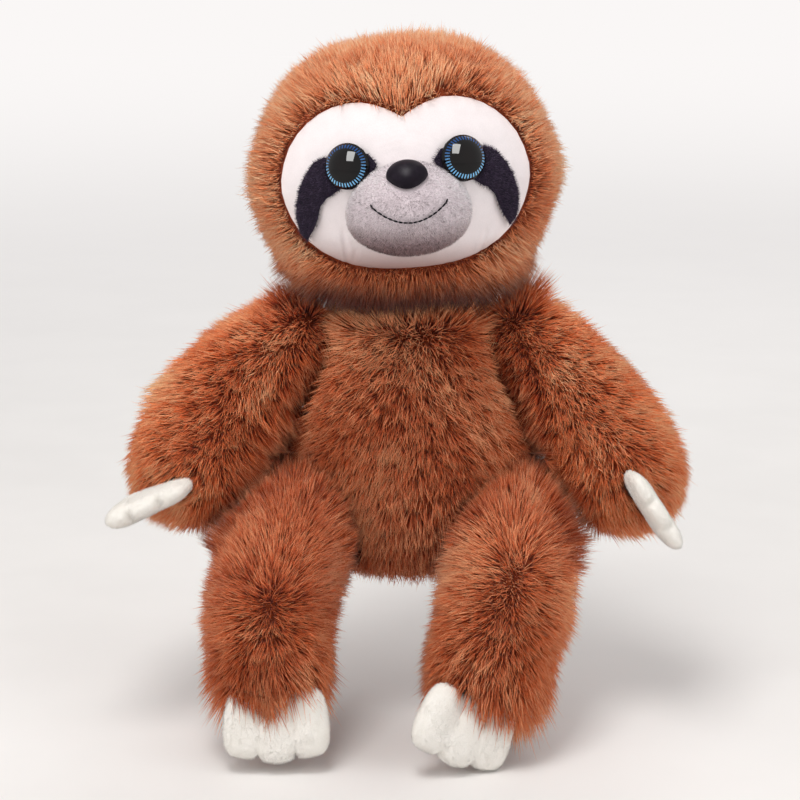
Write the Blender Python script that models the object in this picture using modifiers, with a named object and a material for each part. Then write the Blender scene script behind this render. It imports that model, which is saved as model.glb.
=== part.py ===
"""Plush sloth that sits with its legs hanging: long-pile covers over separate fillings, with ball-shaped limb
roots in the body's sides, a neck ball, three-toed claws and a face with safety eyes and a safety nose.

Metres, +Z up. The sloth faces -Y, so its own right arm and leg are on the -X side. The origin is in the middle
of the flat that it sits on. Outer sizes are measured over the pile."""

import math

import bmesh
import bpy
import numpy as np
from mathutils import Matrix, Vector

# Fabric, pile and clearances
PILE = 0.009
GAP = 0.0003
SHORT_PILE = 0.0012
OVERRUN = 0.05
WELD = 0.000004

# Torso, over the pile
TORSO_HALF_WIDTH = 0.073
TORSO_HALF_DEPTH = 0.062
TORSO_HEIGHT = 0.152
TORSO_SHARES = (
    (0.0, 0.0), (0.60, 0.0), (0.78, 0.06), (0.92, 0.17), (0.985, 0.30), (1.0, 0.42),
    (0.975, 0.55), (0.90, 0.69), (0.79, 0.82), (0.67, 0.92), (0.45, 0.985), (0.0, 1.0),
)

# Head, over the pile, with the neck's ball between it and the torso
NECK_BALL_RADIUS = 0.022
NECK_BALL_SLACK = 0.0006
NECK_SPACE = 0.004
HEAD_HALF_WIDTH = 0.085
HEAD_HALF_DEPTH = 0.073
HEAD_HEIGHT = 0.140
HEAD_FORWARD = 0.005
HEAD_ROLL = math.radians(4)
HEAD_TURN = math.radians(1.2)
HEAD_SHARES = (
    (0.0, 0.0), (0.36, 0.008), (0.58, 0.04), (0.74, 0.10), (0.87, 0.20), (0.955, 0.315), (1.0, 0.45),
    (0.97, 0.57), (0.905, 0.68), (0.80, 0.79), (0.66, 0.885), (0.42, 0.965), (0.0, 1.0),
)

# Face panel, in the middle of the head's front
FACE_INSET = 0.006
FACE_HALF_WIDTH = 0.0655
FACE_HEIGHT = 0.087
FACE_LIFT = 0.0235
FACE_SHARES = (
    (0.0, 0.905), (0.12, 0.955), (0.32, 1.0), (0.55, 0.975), (0.75, 0.89), (0.91, 0.75), (0.995, 0.56),
    (0.975, 0.41), (0.88, 0.25), (0.71, 0.12), (0.47, 0.035), (0.22, 0.004),
)
FACE_BOTTOM_SHARE = 0.0

# Eyes: a clear dome on a backing disc, whose shank is held by a washer behind the face panel
EYE_RADIUS = 0.012
EYE_DOME = 0.0075
EYE_BACKING = 0.0014
EYE_SPREAD = 0.0298
EYE_HEIGHT = 0.0796
SHANK_RADIUS = 0.0025
SHANK_LENGTH = 0.014
WASHER_RADIUS = 0.009
WASHER_THICKNESS = 0.002
WASHER_SETBACK = 0.0015

# Dark patches round the eyes, as points counted in eye radii from the eye's middle, on the sloth's left side
PATCH_SHARES = (
    (-1.28, 0.02), (-0.95, 0.48), (-0.35, 0.55), (0.45, 0.55), (0.95, 0.75), (1.45, 0.15), (1.88, -0.42),
    (2.14, -0.98), (2.30, -1.60), (2.27, -2.15), (2.06, -2.70), (1.74, -3.05), (1.53, -2.35), (1.26, -1.65),
    (0.95, -1.32), (0.45, -1.14), (-0.30, -1.15), (-0.95, -0.62),
)

# Muzzle, nose and mouth
MUZZLE_HALF_WIDTH = 0.0325
MUZZLE_HALF_HEIGHT = 0.0245
MUZZLE_REACH = 0.030
MUZZLE_HEIGHT = 0.0565
MUZZLE_WALL = 0.0025
MUZZLE_DROOP_SHARE = 0.12
NOSE_HALF_WIDTH = 0.0107
NOSE_HALF_HEIGHT = 0.0092
NOSE_DOME = 0.0075
NOSE_ANGLE = math.radians(50)
NOSE_POINT_SHARE = 0.30
NOSE_SHANK_LENGTH = 0.012
NOSE_WASHER_RADIUS = 0.0055
MOUTH_HALF_WIDTH = 0.019
MOUTH_TOP = 0.0610
MOUTH_SAG = 0.0085
THREAD_RADIUS = 0.0006

# Arms, from the shoulder to the middle of the paw
SHOULDER_SPREAD = {"right": 0.065, "left": 0.061}
SHOULDER_HEIGHT = 0.128
ARM_RADIUS = 0.0355
ARM_OUT = {"right": 0.0575, "left": 0.0555}
ARM_FORWARD = 0.030
ARM_DOWN = {"right": 0.0645, "left": 0.069}
ARM_PATH_SHARES = {
    "right": ((0.0, 0.0, 0.0), (0.46, 0.28, 0.28), (0.80, 0.62, 0.62), (1.0, 1.0, 1.0)),
    "left": ((0.0, 0.0, 0.0), (0.40, 0.28, 0.30), (0.76, 0.62, 0.64), (1.0, 1.0, 1.0)),
}
ARM_RADIUS_SHARES = (0.80, 0.92, 0.98, 1.0)
SHOULDER_TILT = math.radians(16)

# Legs, from the hip to the middle of the foot
HIP_SPREAD = {"right": 0.056, "left": 0.054}
HIP_FORWARD = 0.030
HIP_HEIGHT = 0.035
LEG_RADIUS = 0.036
LEG_OUT = {"right": 0.020, "left": -0.014}
LEG_FORWARD = 0.066
LEG_DOWN = {"right": 0.057, "left": 0.063}
LEG_PATH_SHARES = {
    "right": ((0.0, 0.0, 0.0), (0.66, 0.40, 0.30), (1.0, 0.76, 0.64), (1.0, 1.0, 1.0)),
    "left": ((0.0, 0.0, 0.0), (0.05, 0.40, 0.30), (0.35, 0.76, 0.64), (1.0, 1.0, 1.0)),
}
LEG_RADIUS_SHARES = (0.90, 1.0, 1.0, 0.97)
ROOT_OPENING = 0.012

# Claws: three stuffed toes side by side, each set's root sunk in the paw
TOE_FAN = math.radians(6)
TOE_OVERLAP = 0.0035
CLAW_ROOT_DEPTH = 0.006
HAND_TOE_WIDTH = 0.0145
HAND_TOE_LENGTH = 0.040
HAND_TOE_THICKNESS = 0.0095
FOOT_TOE_WIDTH = 0.0175
FOOT_TOE_LENGTH = 0.036
FOOT_TOE_THICKNESS = 0.013
MIDDLE_TOE_EXTRA = 0.003
TOE_END_SHARE = 0.72
TOE_SIDE_SHARE = 0.62

# Where each set of claws leaves the limb's round end, which way it points and which way its toes lie side by side
CLAW_PLACES = {
    "right_hand": ((-0.51, -0.77, -0.40), (-0.16, -0.98, 0.04), (-0.913, -0.09, -0.40)),
    "left_hand": ((0.32, -0.88, -0.36), (0.13, -0.98, 0.04), (0.555, -0.18, -0.82)),
    "right_foot": ((0.14, -0.74, -0.66), (0.02, -0.22, -0.975), (1.0, 0.0, 0.0)),
    "left_foot": ((-0.30, -0.78, -0.54), (-0.34, -0.28, -0.90), (0.90, 0.30, -0.33)),
}

# How far each joint turns either way, in degrees, for the room that the covers leave it
ARM_SWING = (-60, 30)
LEG_SWING = (-20, 15)
CLAW_FLEX = (-15, 15)

# Fineness of the round shapes
BODY_STEPS = 28
HEAD_STEPS = 32
LINING_STEPS = 24
LIMB_SIDES = 16
LIMB_LINING_SIDES = 12
MUZZLE_STEPS = 20
SMALL_STEPS = 16
BALL_STEPS = 20
SPAN_STEPS = 2
END_STEPS = 4
LIMB_SWEEP_STEPS = 5
CLAW_SWEEP_STEPS = 3
TOE_SEGMENTS = 10
TOE_RINGS = 7
LAST_RING = math.radians(88)
SHARP_EDGE = math.radians(35)
QUARTER_TURN = math.radians(90)

RIGHT_AND_LEFT = (("right", -1), ("left", 1))

PLUSH = ("Long pile plush", (0.42, 0.145, 0.045, 1.0), 0.9)
FACE_WHITE = ("White short pile", (0.89, 0.86, 0.83, 1.0), 0.85)
MUZZLE_GREY = ("Grey short pile", (0.30, 0.28, 0.27, 1.0), 0.9)
PATCH_DARK = ("Dark fleece", (0.012, 0.010, 0.020, 1.0), 0.95)
CLAW_CREAM = ("Cream short pile", (0.85, 0.83, 0.78, 1.0), 0.9)
FILLING_WHITE = ("Fibre filling", (0.80, 0.80, 0.78, 1.0), 1.0)
CLEAR_DOME = ("Clear eye plastic", (0.02, 0.03, 0.05, 1.0), 0.05)
IRIS_BLACK = ("Printed eye backing", (0.010, 0.012, 0.016, 1.0), 0.3)
WASHER_WHITE = ("Washer plastic", (0.75, 0.75, 0.72, 1.0), 0.5)
NOSE_DARK = ("Nose plastic", (0.035, 0.025, 0.030, 1.0), 0.35)
THREAD_BLACK = ("Mouth thread", (0.010, 0.009, 0.012, 1.0), 0.7)


def clear_scene():
    for old in list(bpy.data.objects):
        bpy.data.objects.remove(old, do_unlink=True)


def smooth_through(points, steps):
    """Points on a Catmull-Rom curve that runs through the given ones, of any dimension."""
    known = [np.array(p, float) for p in points]
    known = [2 * known[0] - known[1], *known, 2 * known[-1] - known[-2]]
    curve = [known[1]]
    for a, b, c, d in zip(known, known[1:], known[2:], known[3:]):
        for i in range(1, steps + 1):
            t = i / steps
            bend = (2 * a - 5 * b + 4 * c - d) * t**2 + (3 * b - a - 3 * c + d) * t**3
            curve.append(b + ((c - a) * t + bend) / 2)
    return curve


def material(values):
    name, colour, roughness = values
    found = bpy.data.materials.get(name)
    if found:
        return found
    made = bpy.data.materials.new(name)
    made.use_nodes = True
    shader = made.node_tree.nodes["Principled BSDF"]
    shader.inputs["Base Color"].default_value = colour
    shader.inputs["Roughness"].default_value = roughness
    shader.inputs["Metallic"].default_value = 0.0
    made.diffuse_color = colour
    return made


def object_of(name, mesh, collection, parent=None):
    made = bpy.data.objects.new(name, mesh)
    collection.objects.link(made)
    made.parent = parent
    if collection is TOOLS:
        made.hide_render = True
        made.display_type = "WIRE"
    return made


def mesh_from(bm, name, turn_out=True):
    """The bmesh as a closed mesh of triangles, with its faces turned to point out unless they already do."""
    if turn_out:
        bmesh.ops.recalc_face_normals(bm, faces=bm.faces)
    bmesh.ops.triangulate(bm, faces=bm.faces)
    mesh = bpy.data.meshes.new(name)
    bm.to_mesh(mesh)
    bm.free()
    return mesh


def evaluated_mesh(source, name, turn_out=True):
    """The mesh that an object's curve or modifiers make, with the points that coincide joined."""
    graph = bpy.context.evaluated_depsgraph_get()
    mesh = bpy.data.meshes.new_from_object(source.evaluated_get(graph))
    bm = bmesh.new()
    bm.from_mesh(mesh)
    bpy.data.meshes.remove(mesh)
    bmesh.ops.remove_doubles(bm, verts=bm.verts, dist=WELD)
    bmesh.ops.dissolve_degenerate(bm, edges=bm.edges, dist=WELD)
    return mesh_from(bm, name, turn_out)


def boolean(target, tool, operation="DIFFERENCE"):
    """Cuts, joins or intersects target with tool for good, and removes tool."""
    bpy.context.view_layer.update()
    step = target.modifiers.new("Cut", "BOOLEAN")
    step.operation = operation
    step.solver = "EXACT"
    step.object = tool
    old = target.data
    result = evaluated_mesh(target, target.name, turn_out=False)
    target.modifiers.remove(step)
    target.data = result
    bpy.data.meshes.remove(old)
    bpy.data.objects.remove(tool, do_unlink=True)


def turned(name, profile, steps, depth_scale, collection, parent):
    """A profile of (radius, height) points, bottom to top, turned about Z and then narrowed front to back."""
    mesh = bpy.data.meshes.new(name)
    points = [(r, 0.0, z) for r, z in reversed(profile)]
    mesh.from_pydata(points, [(i, i + 1) for i in range(len(points) - 1)], [])
    guide = object_of(name + "_profile", mesh, TOOLS)
    screw = guide.modifiers.new("Turn", "SCREW")
    screw.steps = steps
    screw.render_steps = steps
    screw.use_merge_vertices = True
    screw.merge_threshold = WELD
    solid = evaluated_mesh(guide, name)
    bpy.data.objects.remove(guide, do_unlink=True)
    solid.transform(Matrix.Diagonal((1.0, depth_scale, 1.0, 1.0)))
    return object_of(name, solid, collection, parent)


def torso_solid(name, inset, collection):
    """The torso's form, drawn in by inset all round, and in fewer facets inside the pile."""
    half_width = TORSO_HALF_WIDTH - inset
    half_depth = TORSO_HALF_DEPTH - inset
    height = TORSO_HEIGHT - 2 * inset
    spans, steps = (1, LINING_STEPS) if inset >= PILE else (SPAN_STEPS, BODY_STEPS)
    profile = [(abs(r) * half_width, inset + h * height) for r, h in smooth_through(TORSO_SHARES, spans)]
    return turned(name, level_ends(profile), steps, half_depth / half_width, collection, ROOT)


def head_bottom(inset):
    return NECK_SPACE / 2 + inset


def head_solid(name, inset, collection):
    """The head's form in the neck's frame, drawn in by inset all round, and in fewer facets inside the pile."""
    half_width = HEAD_HALF_WIDTH - inset
    half_depth = HEAD_HALF_DEPTH - inset
    height = HEAD_HEIGHT - 2 * inset
    low = head_bottom(inset)
    spans, steps = (1, LINING_STEPS) if inset >= PILE else (SPAN_STEPS, HEAD_STEPS)
    profile = [(abs(r) * half_width, low + h * height) for r, h in smooth_through(HEAD_SHARES, spans)]
    solid = turned(name, level_ends(profile), steps, half_depth / half_width, collection, NECK)
    solid.data.transform(Matrix.Translation((0.0, -HEAD_FORWARD, 0.0)))
    return solid


def level_ends(profile):
    """The profile with nothing that dips past its own two ends."""
    low = profile[0][1]
    high = profile[-1][1]
    return [(r, min(max(z, low), high)) for r, z in profile]


def head_front(x, z, inset):
    """The point on the head's front at this x and z, in the neck's frame, and the way out of the surface there."""

    def depth_at(px, pz):
        height = (pz - head_bottom(inset)) / (HEAD_HEIGHT - 2 * inset)
        share = np.interp(height, HEAD_CURVE[:, 1], HEAD_CURVE[:, 0])
        across = px / ((HEAD_HALF_WIDTH - inset) * share)
        return -HEAD_FORWARD - (HEAD_HALF_DEPTH - inset) * share * math.sqrt(max(0.0, 1 - across**2))

    step = EYE_RADIUS / 2
    slope_x = (depth_at(x + step, z) - depth_at(x - step, z)) / (2 * step)
    slope_z = (depth_at(x, z + step) - depth_at(x, z - step)) / (2 * step)
    return Vector((x, depth_at(x, z), z)), Vector((slope_x, -1.0, slope_z)).normalized()


def outline_prism(name, points, parent):
    """A closed outline of (x, z) points, filled and run through the front half of the head."""
    curve = bpy.data.curves.new(name, "CURVE")
    curve.dimensions = "2D"
    curve.fill_mode = "BOTH"
    curve.extrude = (HEAD_HALF_DEPTH + OVERRUN) / 2
    spline = curve.splines.new("POLY")
    spline.points.add(len(points) - 1)
    for point, (x, z) in zip(spline.points, points):
        point.co = (x, z, 0.0, 1.0)
    spline.use_cyclic_u = True
    guide = object_of(name + "_outline", curve, TOOLS)
    solid = evaluated_mesh(guide, name)
    bpy.data.objects.remove(guide, do_unlink=True)
    solid.transform(Matrix.Translation((0.0, -curve.extrude, 0.0)) @ Matrix.Rotation(QUARTER_TURN, 4, "X"))
    return object_of(name, solid, TOOLS, parent)


def face_outline(grow):
    """The heart-topped outline of the face panel, pushed out by grow."""
    right = [
        (x * FACE_HALF_WIDTH, FACE_LIFT + z * FACE_HEIGHT)
        for x, z in smooth_through((*FACE_SHARES, (0.0, FACE_BOTTOM_SHARE)), SPAN_STEPS)
    ]
    left = [(-x, z) for x, z in reversed(right[1:-1])]
    return pushed_out(right + left, grow)


def pushed_out(points, grow):
    """A clockwise outline whose every point is moved outwards by grow."""
    moved = []
    for i, (x, z) in enumerate(points):
        ax, az = points[i - 1]
        bx, bz = points[(i + 1) % len(points)]
        along = Vector((bx - ax, bz - az)).normalized()
        moved.append((x - along.y * grow, z + along.x * grow))
    return moved


def front_shell(name, outline, outer_inset, inner_inset):
    """The part of a layer of the head that lies within an outline on its front."""
    shell = outline_prism(name, outline, NECK)
    boolean(shell, head_solid(name + "_outer", outer_inset, TOOLS), "INTERSECT")
    boolean(shell, head_solid(name + "_inner", inner_inset, TOOLS))
    return moved_to(shell, PARTS)


def moved_to(solid, collection):
    for current in list(solid.users_collection):
        current.objects.unlink(solid)
    collection.objects.link(solid)
    solid.hide_render = collection is TOOLS
    solid.display_type = "WIRE" if collection is TOOLS else "TEXTURED"
    return solid


def limb_path(reach, path_shares):
    return [Vector([a * b for a, b in zip(reach, share)]) for share in path_shares]


def limb_solid(name, reach, path_shares, radius, radius_shares, grow, collection, parent):
    """A round limb that swells and tapers along its path from the joint, with a ball at each end."""
    spans, sides = (1, LIMB_LINING_SIDES) if grow < 0 else (SPAN_STEPS, LIMB_SIDES)
    rings = [(*p, radius * share + grow) for p, share in zip(limb_path(reach, path_shares), radius_shares)]
    rings = smooth_through(rings, spans)
    first, second = Vector(rings[0][:3]), Vector(rings[1][:3])
    last, before = Vector(rings[-1][:3]), Vector(rings[-2][:3])
    root, tip = (first - second).normalized(), (last - before).normalized()
    full = [(Vector(ring[:3]), ring[3]) for ring in rings]
    for i in range(1, END_STEPS + 1):
        turn = LAST_RING * i / END_STEPS
        full.insert(0, (first + root * rings[0][3] * math.sin(turn), rings[0][3] * math.cos(turn)))
        full.append((last + tip * rings[-1][3] * math.sin(turn), rings[-1][3] * math.cos(turn)))
    curve = bpy.data.curves.new(name, "CURVE")
    curve.dimensions = "3D"
    curve.bevel_depth = radius
    curve.bevel_resolution = sides // 4 - 1
    curve.use_fill_caps = True
    curve.twist_mode = "MINIMUM"
    spline = curve.splines.new("POLY")
    spline.points.add(len(full) - 1)
    for point, (place, ring_radius) in zip(spline.points, full):
        point.co = (*place, 1.0)
        point.radius = ring_radius / radius
    guide = object_of(name + "_path", curve, TOOLS)
    solid = evaluated_mesh(guide, name)
    bpy.data.objects.remove(guide, do_unlink=True)
    return object_of(name, solid, collection, parent)


def toes(name, width, length, thickness, grow):
    """Three separate toes side by side along X, pointing along Y with their roots' round edge at the origin."""
    solids = []
    for place in (-1, 0, 1):
        full_length = length + (MIDDLE_TOE_EXTRA if place == 0 else 0) + 2 * grow
        half_width = (width + TOE_OVERLAP) / 2 + grow
        half_thickness = thickness / 2 + grow
        bm = bmesh.new()
        bmesh.ops.create_uvsphere(bm, u_segments=TOE_SEGMENTS, v_segments=TOE_RINGS, radius=length)
        for vert in bm.verts:
            x, y, z = vert.co / length
            ring = math.hypot(x, y)
            along = math.copysign(abs(z) ** TOE_END_SHARE, z)
            swell = ring**TOE_SIDE_SHARE / max(ring, GAP)
            vert.co = (
                x * swell * half_width,
                (along + 1) / 2 * full_length - thickness / 2 - grow,
                y * swell * half_thickness,
            )
        turn = Matrix.Rotation(-place * TOE_FAN, 4, "Z")
        shift = Matrix.Translation((place * (width - TOE_OVERLAP / 2), 0.0, 0.0))
        bmesh.ops.transform(bm, matrix=shift @ turn, verts=bm.verts)
        solids.append(object_of(f"{name}_toe", mesh_from(bm, name), TOOLS))
    return solids


def claw_frame(place_name, centre, radius):
    """Where a set of claws is rooted in a limb's frame: X across its toes, Y the way that they point."""
    normal, pointing, across = (Vector(v).normalized() for v in CLAW_PLACES[place_name])
    across = (across - pointing * across.dot(pointing)).normalized()
    flat = across.cross(pointing)
    turn = Matrix((across, pointing, flat)).transposed().to_4x4()
    return Matrix.Translation(centre + normal * (radius - CLAW_ROOT_DEPTH)) @ turn


def swept_hull(name, meshes, axis, limits, steps, parent):
    """The convex hull of the given meshes as they turn about an axis, which clears the joint's whole range."""
    bm = bmesh.new()
    for angle in np.linspace(limits[0], limits[1], steps):
        turn = Matrix.Rotation(math.radians(angle), 4, axis)
        for mesh in meshes:
            for vert in mesh.vertices:
                bm.verts.new(turn @ vert.co)
    made = bmesh.ops.convex_hull(bm, input=bm.verts)
    spare = {g for g in made["geom_interior"] + made["geom_unused"] if isinstance(g, bmesh.types.BMVert)}
    bmesh.ops.delete(bm, geom=[v for v in spare if v.is_valid], context="VERTS")
    return object_of(name, mesh_from(bm, name), TOOLS, parent)


def frame_at(name, place, parent=None, turn=None):
    empty = bpy.data.objects.new(name, None)
    PARTS.objects.link(empty)
    empty.empty_display_size = NECK_BALL_RADIUS
    empty.parent = parent
    empty.matrix_local = Matrix.Translation(place) @ (turn or Matrix.Identity(4))
    return empty


def dressed(solid, values):
    """Gives a finished piece its material and smooth shading with crisp edges."""
    solid.data.materials.clear()
    solid.data.materials.append(material(values))
    solid.data.shade_smooth()
    solid.data.set_sharp_from_angle(angle=SHARP_EDGE)
    return solid


def make_claws(place_name, limb, frame, centre, radius, width, length, thickness):
    """One set of claws and its slot in the limb's pieces, which clears it as it flexes about its root."""
    place = claw_frame(place_name, centre, radius)
    root = frame_at(f"{place_name}_claws_root", place.to_translation(), frame, place.to_3x3().to_4x4())
    parts = toes(place_name, width, length, thickness, 0.0)
    claws = parts[1]
    claws.name = f"{place_name}_claws"
    for toe in (parts[0], parts[2]):
        boolean(claws, toe, "UNION")
    claws.parent = root
    dressed(moved_to(claws, PARTS), CLAW_CREAM)
    grown = toes(place_name, width, length, thickness, GAP)
    meshes = [toe.data for toe in grown]
    for solid in limb:
        boolean(solid, swept_hull(f"{place_name}_slot", meshes, "X", CLAW_FLEX, CLAW_SWEEP_STEPS, root))
    for toe in grown:
        bpy.data.objects.remove(toe, do_unlink=True)


def make_limb(name, frame, reach, path_shares, radius, radius_shares):
    """A limb's pile cover, open at its root, and the filling inside it."""
    sizes = (reach, path_shares, radius, radius_shares)
    cover = limb_solid(f"{name}_cover", *sizes, 0.0, PARTS, frame)
    boolean(cover, limb_solid(f"{name}_inside", *sizes, -PILE, TOOLS, frame))
    first, second = limb_path(reach, path_shares)[:2]
    inward = (first - second).normalized()
    bm = bmesh.new()
    bmesh.ops.create_cone(
        bm, cap_ends=True, segments=SMALL_STEPS, radius1=ROOT_OPENING, radius2=ROOT_OPENING, depth=radius * 2
    )
    turn = inward.to_track_quat("Z", "Y").to_matrix().to_4x4()
    bmesh.ops.transform(bm, matrix=Matrix.Translation(inward * radius) @ turn, verts=bm.verts)
    boolean(cover, object_of(f"{name}_opening", mesh_from(bm, name), TOOLS, frame))
    filling = limb_solid(f"{name}_filling", *sizes, -PILE - GAP, PARTS, frame)
    return dressed(cover, PLUSH), dressed(filling, FILLING_WHITE)


def limb_room(name, frame, reach, path_shares, radius, radius_shares, axis, limits):
    """The space that a limb sweeps as it swings, with the clearance round it."""
    grown = limb_solid(f"{name}_grown", reach, path_shares, radius, radius_shares, GAP, TOOLS, frame)
    room = swept_hull(f"{name}_room", [grown.data], axis, limits, LIMB_SWEEP_STEPS, frame)
    bpy.data.objects.remove(grown, do_unlink=True)
    return room


def shoulder_axis(side):
    """The way out of the body's side at the shoulder, which the arm swings about."""
    return Vector((side * math.cos(SHOULDER_TILT), 0.0, math.sin(SHOULDER_TILT)))


def ball(name, radius, collection, parent):
    bm = bmesh.new()
    bmesh.ops.create_uvsphere(bm, u_segments=BALL_STEPS, v_segments=BALL_STEPS // 2, radius=radius)
    return object_of(name, mesh_from(bm, name), collection, parent)


def muzzle_point(x, z, grow):
    """The depth of the muzzle's front at x and z, which run from the muzzle's middle."""
    wide = (MUZZLE_HALF_WIDTH + grow) * (1 - MUZZLE_DROOP_SHARE * z / MUZZLE_HALF_HEIGHT)
    left = max(0.0, 1 - (x / wide) ** 2 - (z / (MUZZLE_HALF_HEIGHT + grow)) ** 2)
    return muzzle_back() - (MUZZLE_REACH + grow) * math.sqrt(left)


def muzzle_back():
    return head_front(0.0, MUZZLE_HEIGHT, FACE_INSET)[0].y


def muzzle_solid(name, grow, collection):
    """An egg laid on the face panel, wider below than above."""
    back = muzzle_back()
    bm = bmesh.new()
    bmesh.ops.create_uvsphere(bm, u_segments=MUZZLE_STEPS, v_segments=MUZZLE_STEPS // 2, radius=MUZZLE_REACH)
    for vert in bm.verts:
        x, y, z = vert.co / MUZZLE_REACH
        wide = (MUZZLE_HALF_WIDTH + grow) * (1 - MUZZLE_DROOP_SHARE * z)
        vert.co = (x * wide, back + y * (MUZZLE_REACH + grow), MUZZLE_HEIGHT + z * (MUZZLE_HALF_HEIGHT + grow))
    return object_of(name, mesh_from(bm, name), collection, NECK)


def shank_profile(radius, flange, length, grow):
    """A flat disc with a shank behind it, as (radius, height) points with the disc's back at height zero."""
    return [
        (0.0, -length - grow),
        (SHANK_RADIUS + grow, -length - grow),
        (SHANK_RADIUS + grow, -grow),
        (radius + grow, -grow),
        (radius + grow, flange + grow),
        (0.0, flange + grow),
    ]


def disc(name, radius, low, high, collection, parent):
    bm = bmesh.new()
    bmesh.ops.create_cone(
        bm, cap_ends=True, segments=SMALL_STEPS, radius1=radius, radius2=radius, depth=high - low
    )
    bmesh.ops.translate(bm, verts=bm.verts, vec=(0.0, 0.0, (high + low) / 2))
    return object_of(name, mesh_from(bm, name), collection, parent)


def washer(name, radius, front, parent):
    """The ring washer that clamps a shank behind the cloth, before its hole is cut."""
    return disc(name, radius, front - WASHER_THICKNESS, front, PARTS, parent)


def washer_room(radius, front, parent):
    """The washer's pocket, open towards the cloth that it lies against."""
    low = front - WASHER_THICKNESS - GAP
    return disc("washer_room", radius + GAP, low, front + WASHER_RADIUS, TOOLS, parent)


def shank_tool(name, flange_radius, flange, length, parent):
    """The space that a disc and its shank take, with the clearance round them."""
    return turned(name, shank_profile(flange_radius, flange, length, GAP), SMALL_STEPS, 1.0, TOOLS, parent)


def make_torso(rooms):
    cover = torso_solid("torso_cover", 0.0, PARTS)
    boolean(cover, torso_solid("torso_inside", PILE, TOOLS))
    filling = torso_solid("torso_filling", PILE + GAP, PARTS)
    for solid in (cover, filling):
        for make_room in rooms:
            boolean(solid, make_room())
        boolean(solid, ball("neck_room", NECK_BALL_RADIUS + NECK_BALL_SLACK + GAP, TOOLS, NECK))
    dressed(cover, PLUSH)
    dressed(filling, FILLING_WHITE)


def make_head():
    """The head's pile cover, its filling and the white panel in its face opening."""
    cover = head_solid("head_cover", 0.0, PARTS)
    boolean(cover, head_solid("head_inside", PILE, TOOLS))
    boolean(cover, outline_prism("face_opening", face_outline(GAP), NECK))
    filling = head_solid("head_filling", PILE + GAP, PARTS)
    for solid in (cover, filling):
        boolean(solid, ball("neck_room", NECK_BALL_RADIUS + NECK_BALL_SLACK + GAP, TOOLS, NECK))
    panel = front_shell("face_panel", face_outline(0.0), FACE_INSET, PILE)
    dressed(cover, PLUSH)
    dressed(filling, FILLING_WHITE)
    return dressed(panel, FACE_WHITE), filling


def eye_frame(name, side):
    """Where an eye sits: on its patch, with Z pointing out of the face."""
    lift = FACE_INSET - GAP - SHORT_PILE - GAP
    place, normal = head_front(side * EYE_SPREAD, EYE_HEIGHT, lift)
    return frame_at(f"{name}_eye_seat", place, NECK, normal.to_track_quat("Z", "Y").to_matrix().to_4x4())


def dome_profile(radius, height, floor):
    """A dome that meets its flat floor at a steep edge."""
    rise = [QUARTER_TURN * i / END_STEPS for i in range(END_STEPS + 1)]
    return [(0.0, floor)] + [(radius * math.cos(a), floor + height * math.sin(a)) for a in rise]


def make_eye(name, side, panel, filling, muzzle_parts):
    """One safety eye, its fleece patch and the washer that holds it, with the room for them in the pieces round it."""
    seat = eye_frame(name, side)
    scaled = [
        (side * (EYE_SPREAD + x * EYE_RADIUS), EYE_HEIGHT + z * EYE_RADIUS)
        for x, z in PATCH_SHARES
    ]
    patch = front_shell(f"{name}_eye_patch", scaled, FACE_INSET - GAP - SHORT_PILE, FACE_INSET - GAP)
    inside_face = outline_prism("face_edge", face_outline(-GAP), NECK)
    boolean(patch, inside_face, "INTERSECT")
    boolean(patch, muzzle_solid("muzzle_edge", GAP, TOOLS))
    through = EYE_BACKING
    backing = turned(
        f"{name}_eye_backing", shank_profile(EYE_RADIUS, through, SHANK_LENGTH, 0.0), SMALL_STEPS, 1.0, PARTS, seat
    )
    lens = turned(
        f"{name}_eye_lens", dome_profile(EYE_RADIUS, EYE_DOME, through + GAP), SMALL_STEPS, 1.0, PARTS, seat
    )
    washer_front = FACE_INSET - PILE - SHORT_PILE - 2 * GAP - WASHER_SETBACK
    ring = washer(f"{name}_eye_washer", WASHER_RADIUS, washer_front, seat)
    for solid in (patch, panel, filling, ring):
        boolean(solid, shank_tool("shank_room", EYE_RADIUS, through, SHANK_LENGTH, seat))
    boolean(filling, washer_room(WASHER_RADIUS, washer_front, seat))
    muzzle_cover, muzzle_filling = muzzle_parts
    room = shank_profile(EYE_RADIUS, through, SHANK_LENGTH, GAP)[:-2]
    room += dome_profile(EYE_RADIUS + GAP, EYE_DOME + GAP, through + GAP)[1:]
    boolean(muzzle_cover, turned("whole_eye_room", room, SMALL_STEPS, 1.0, TOOLS, seat))
    boolean(muzzle_filling, shank_tool("eye_room", EYE_RADIUS + MUZZLE_WALL, MUZZLE_REACH, SHANK_LENGTH, seat))
    dressed(patch, PATCH_DARK)
    dressed(backing, IRIS_BLACK)
    dressed(lens, CLEAR_DOME)
    dressed(ring, WASHER_WHITE)


def make_muzzle():
    """The muzzle's short-pile cover, open at the back, and its filling, both seated on the face panel."""
    cover = muzzle_solid("muzzle_cover", 0.0, PARTS)
    filling = muzzle_solid("muzzle_filling", -MUZZLE_WALL - GAP, PARTS)
    boolean(cover, muzzle_solid("muzzle_inside", -MUZZLE_WALL, TOOLS))
    for solid in (cover, filling):
        boolean(solid, head_solid("face_room", FACE_INSET - GAP, TOOLS))
    dressed(cover, MUZZLE_GREY)
    dressed(filling, FILLING_WHITE)
    return cover, filling


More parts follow.
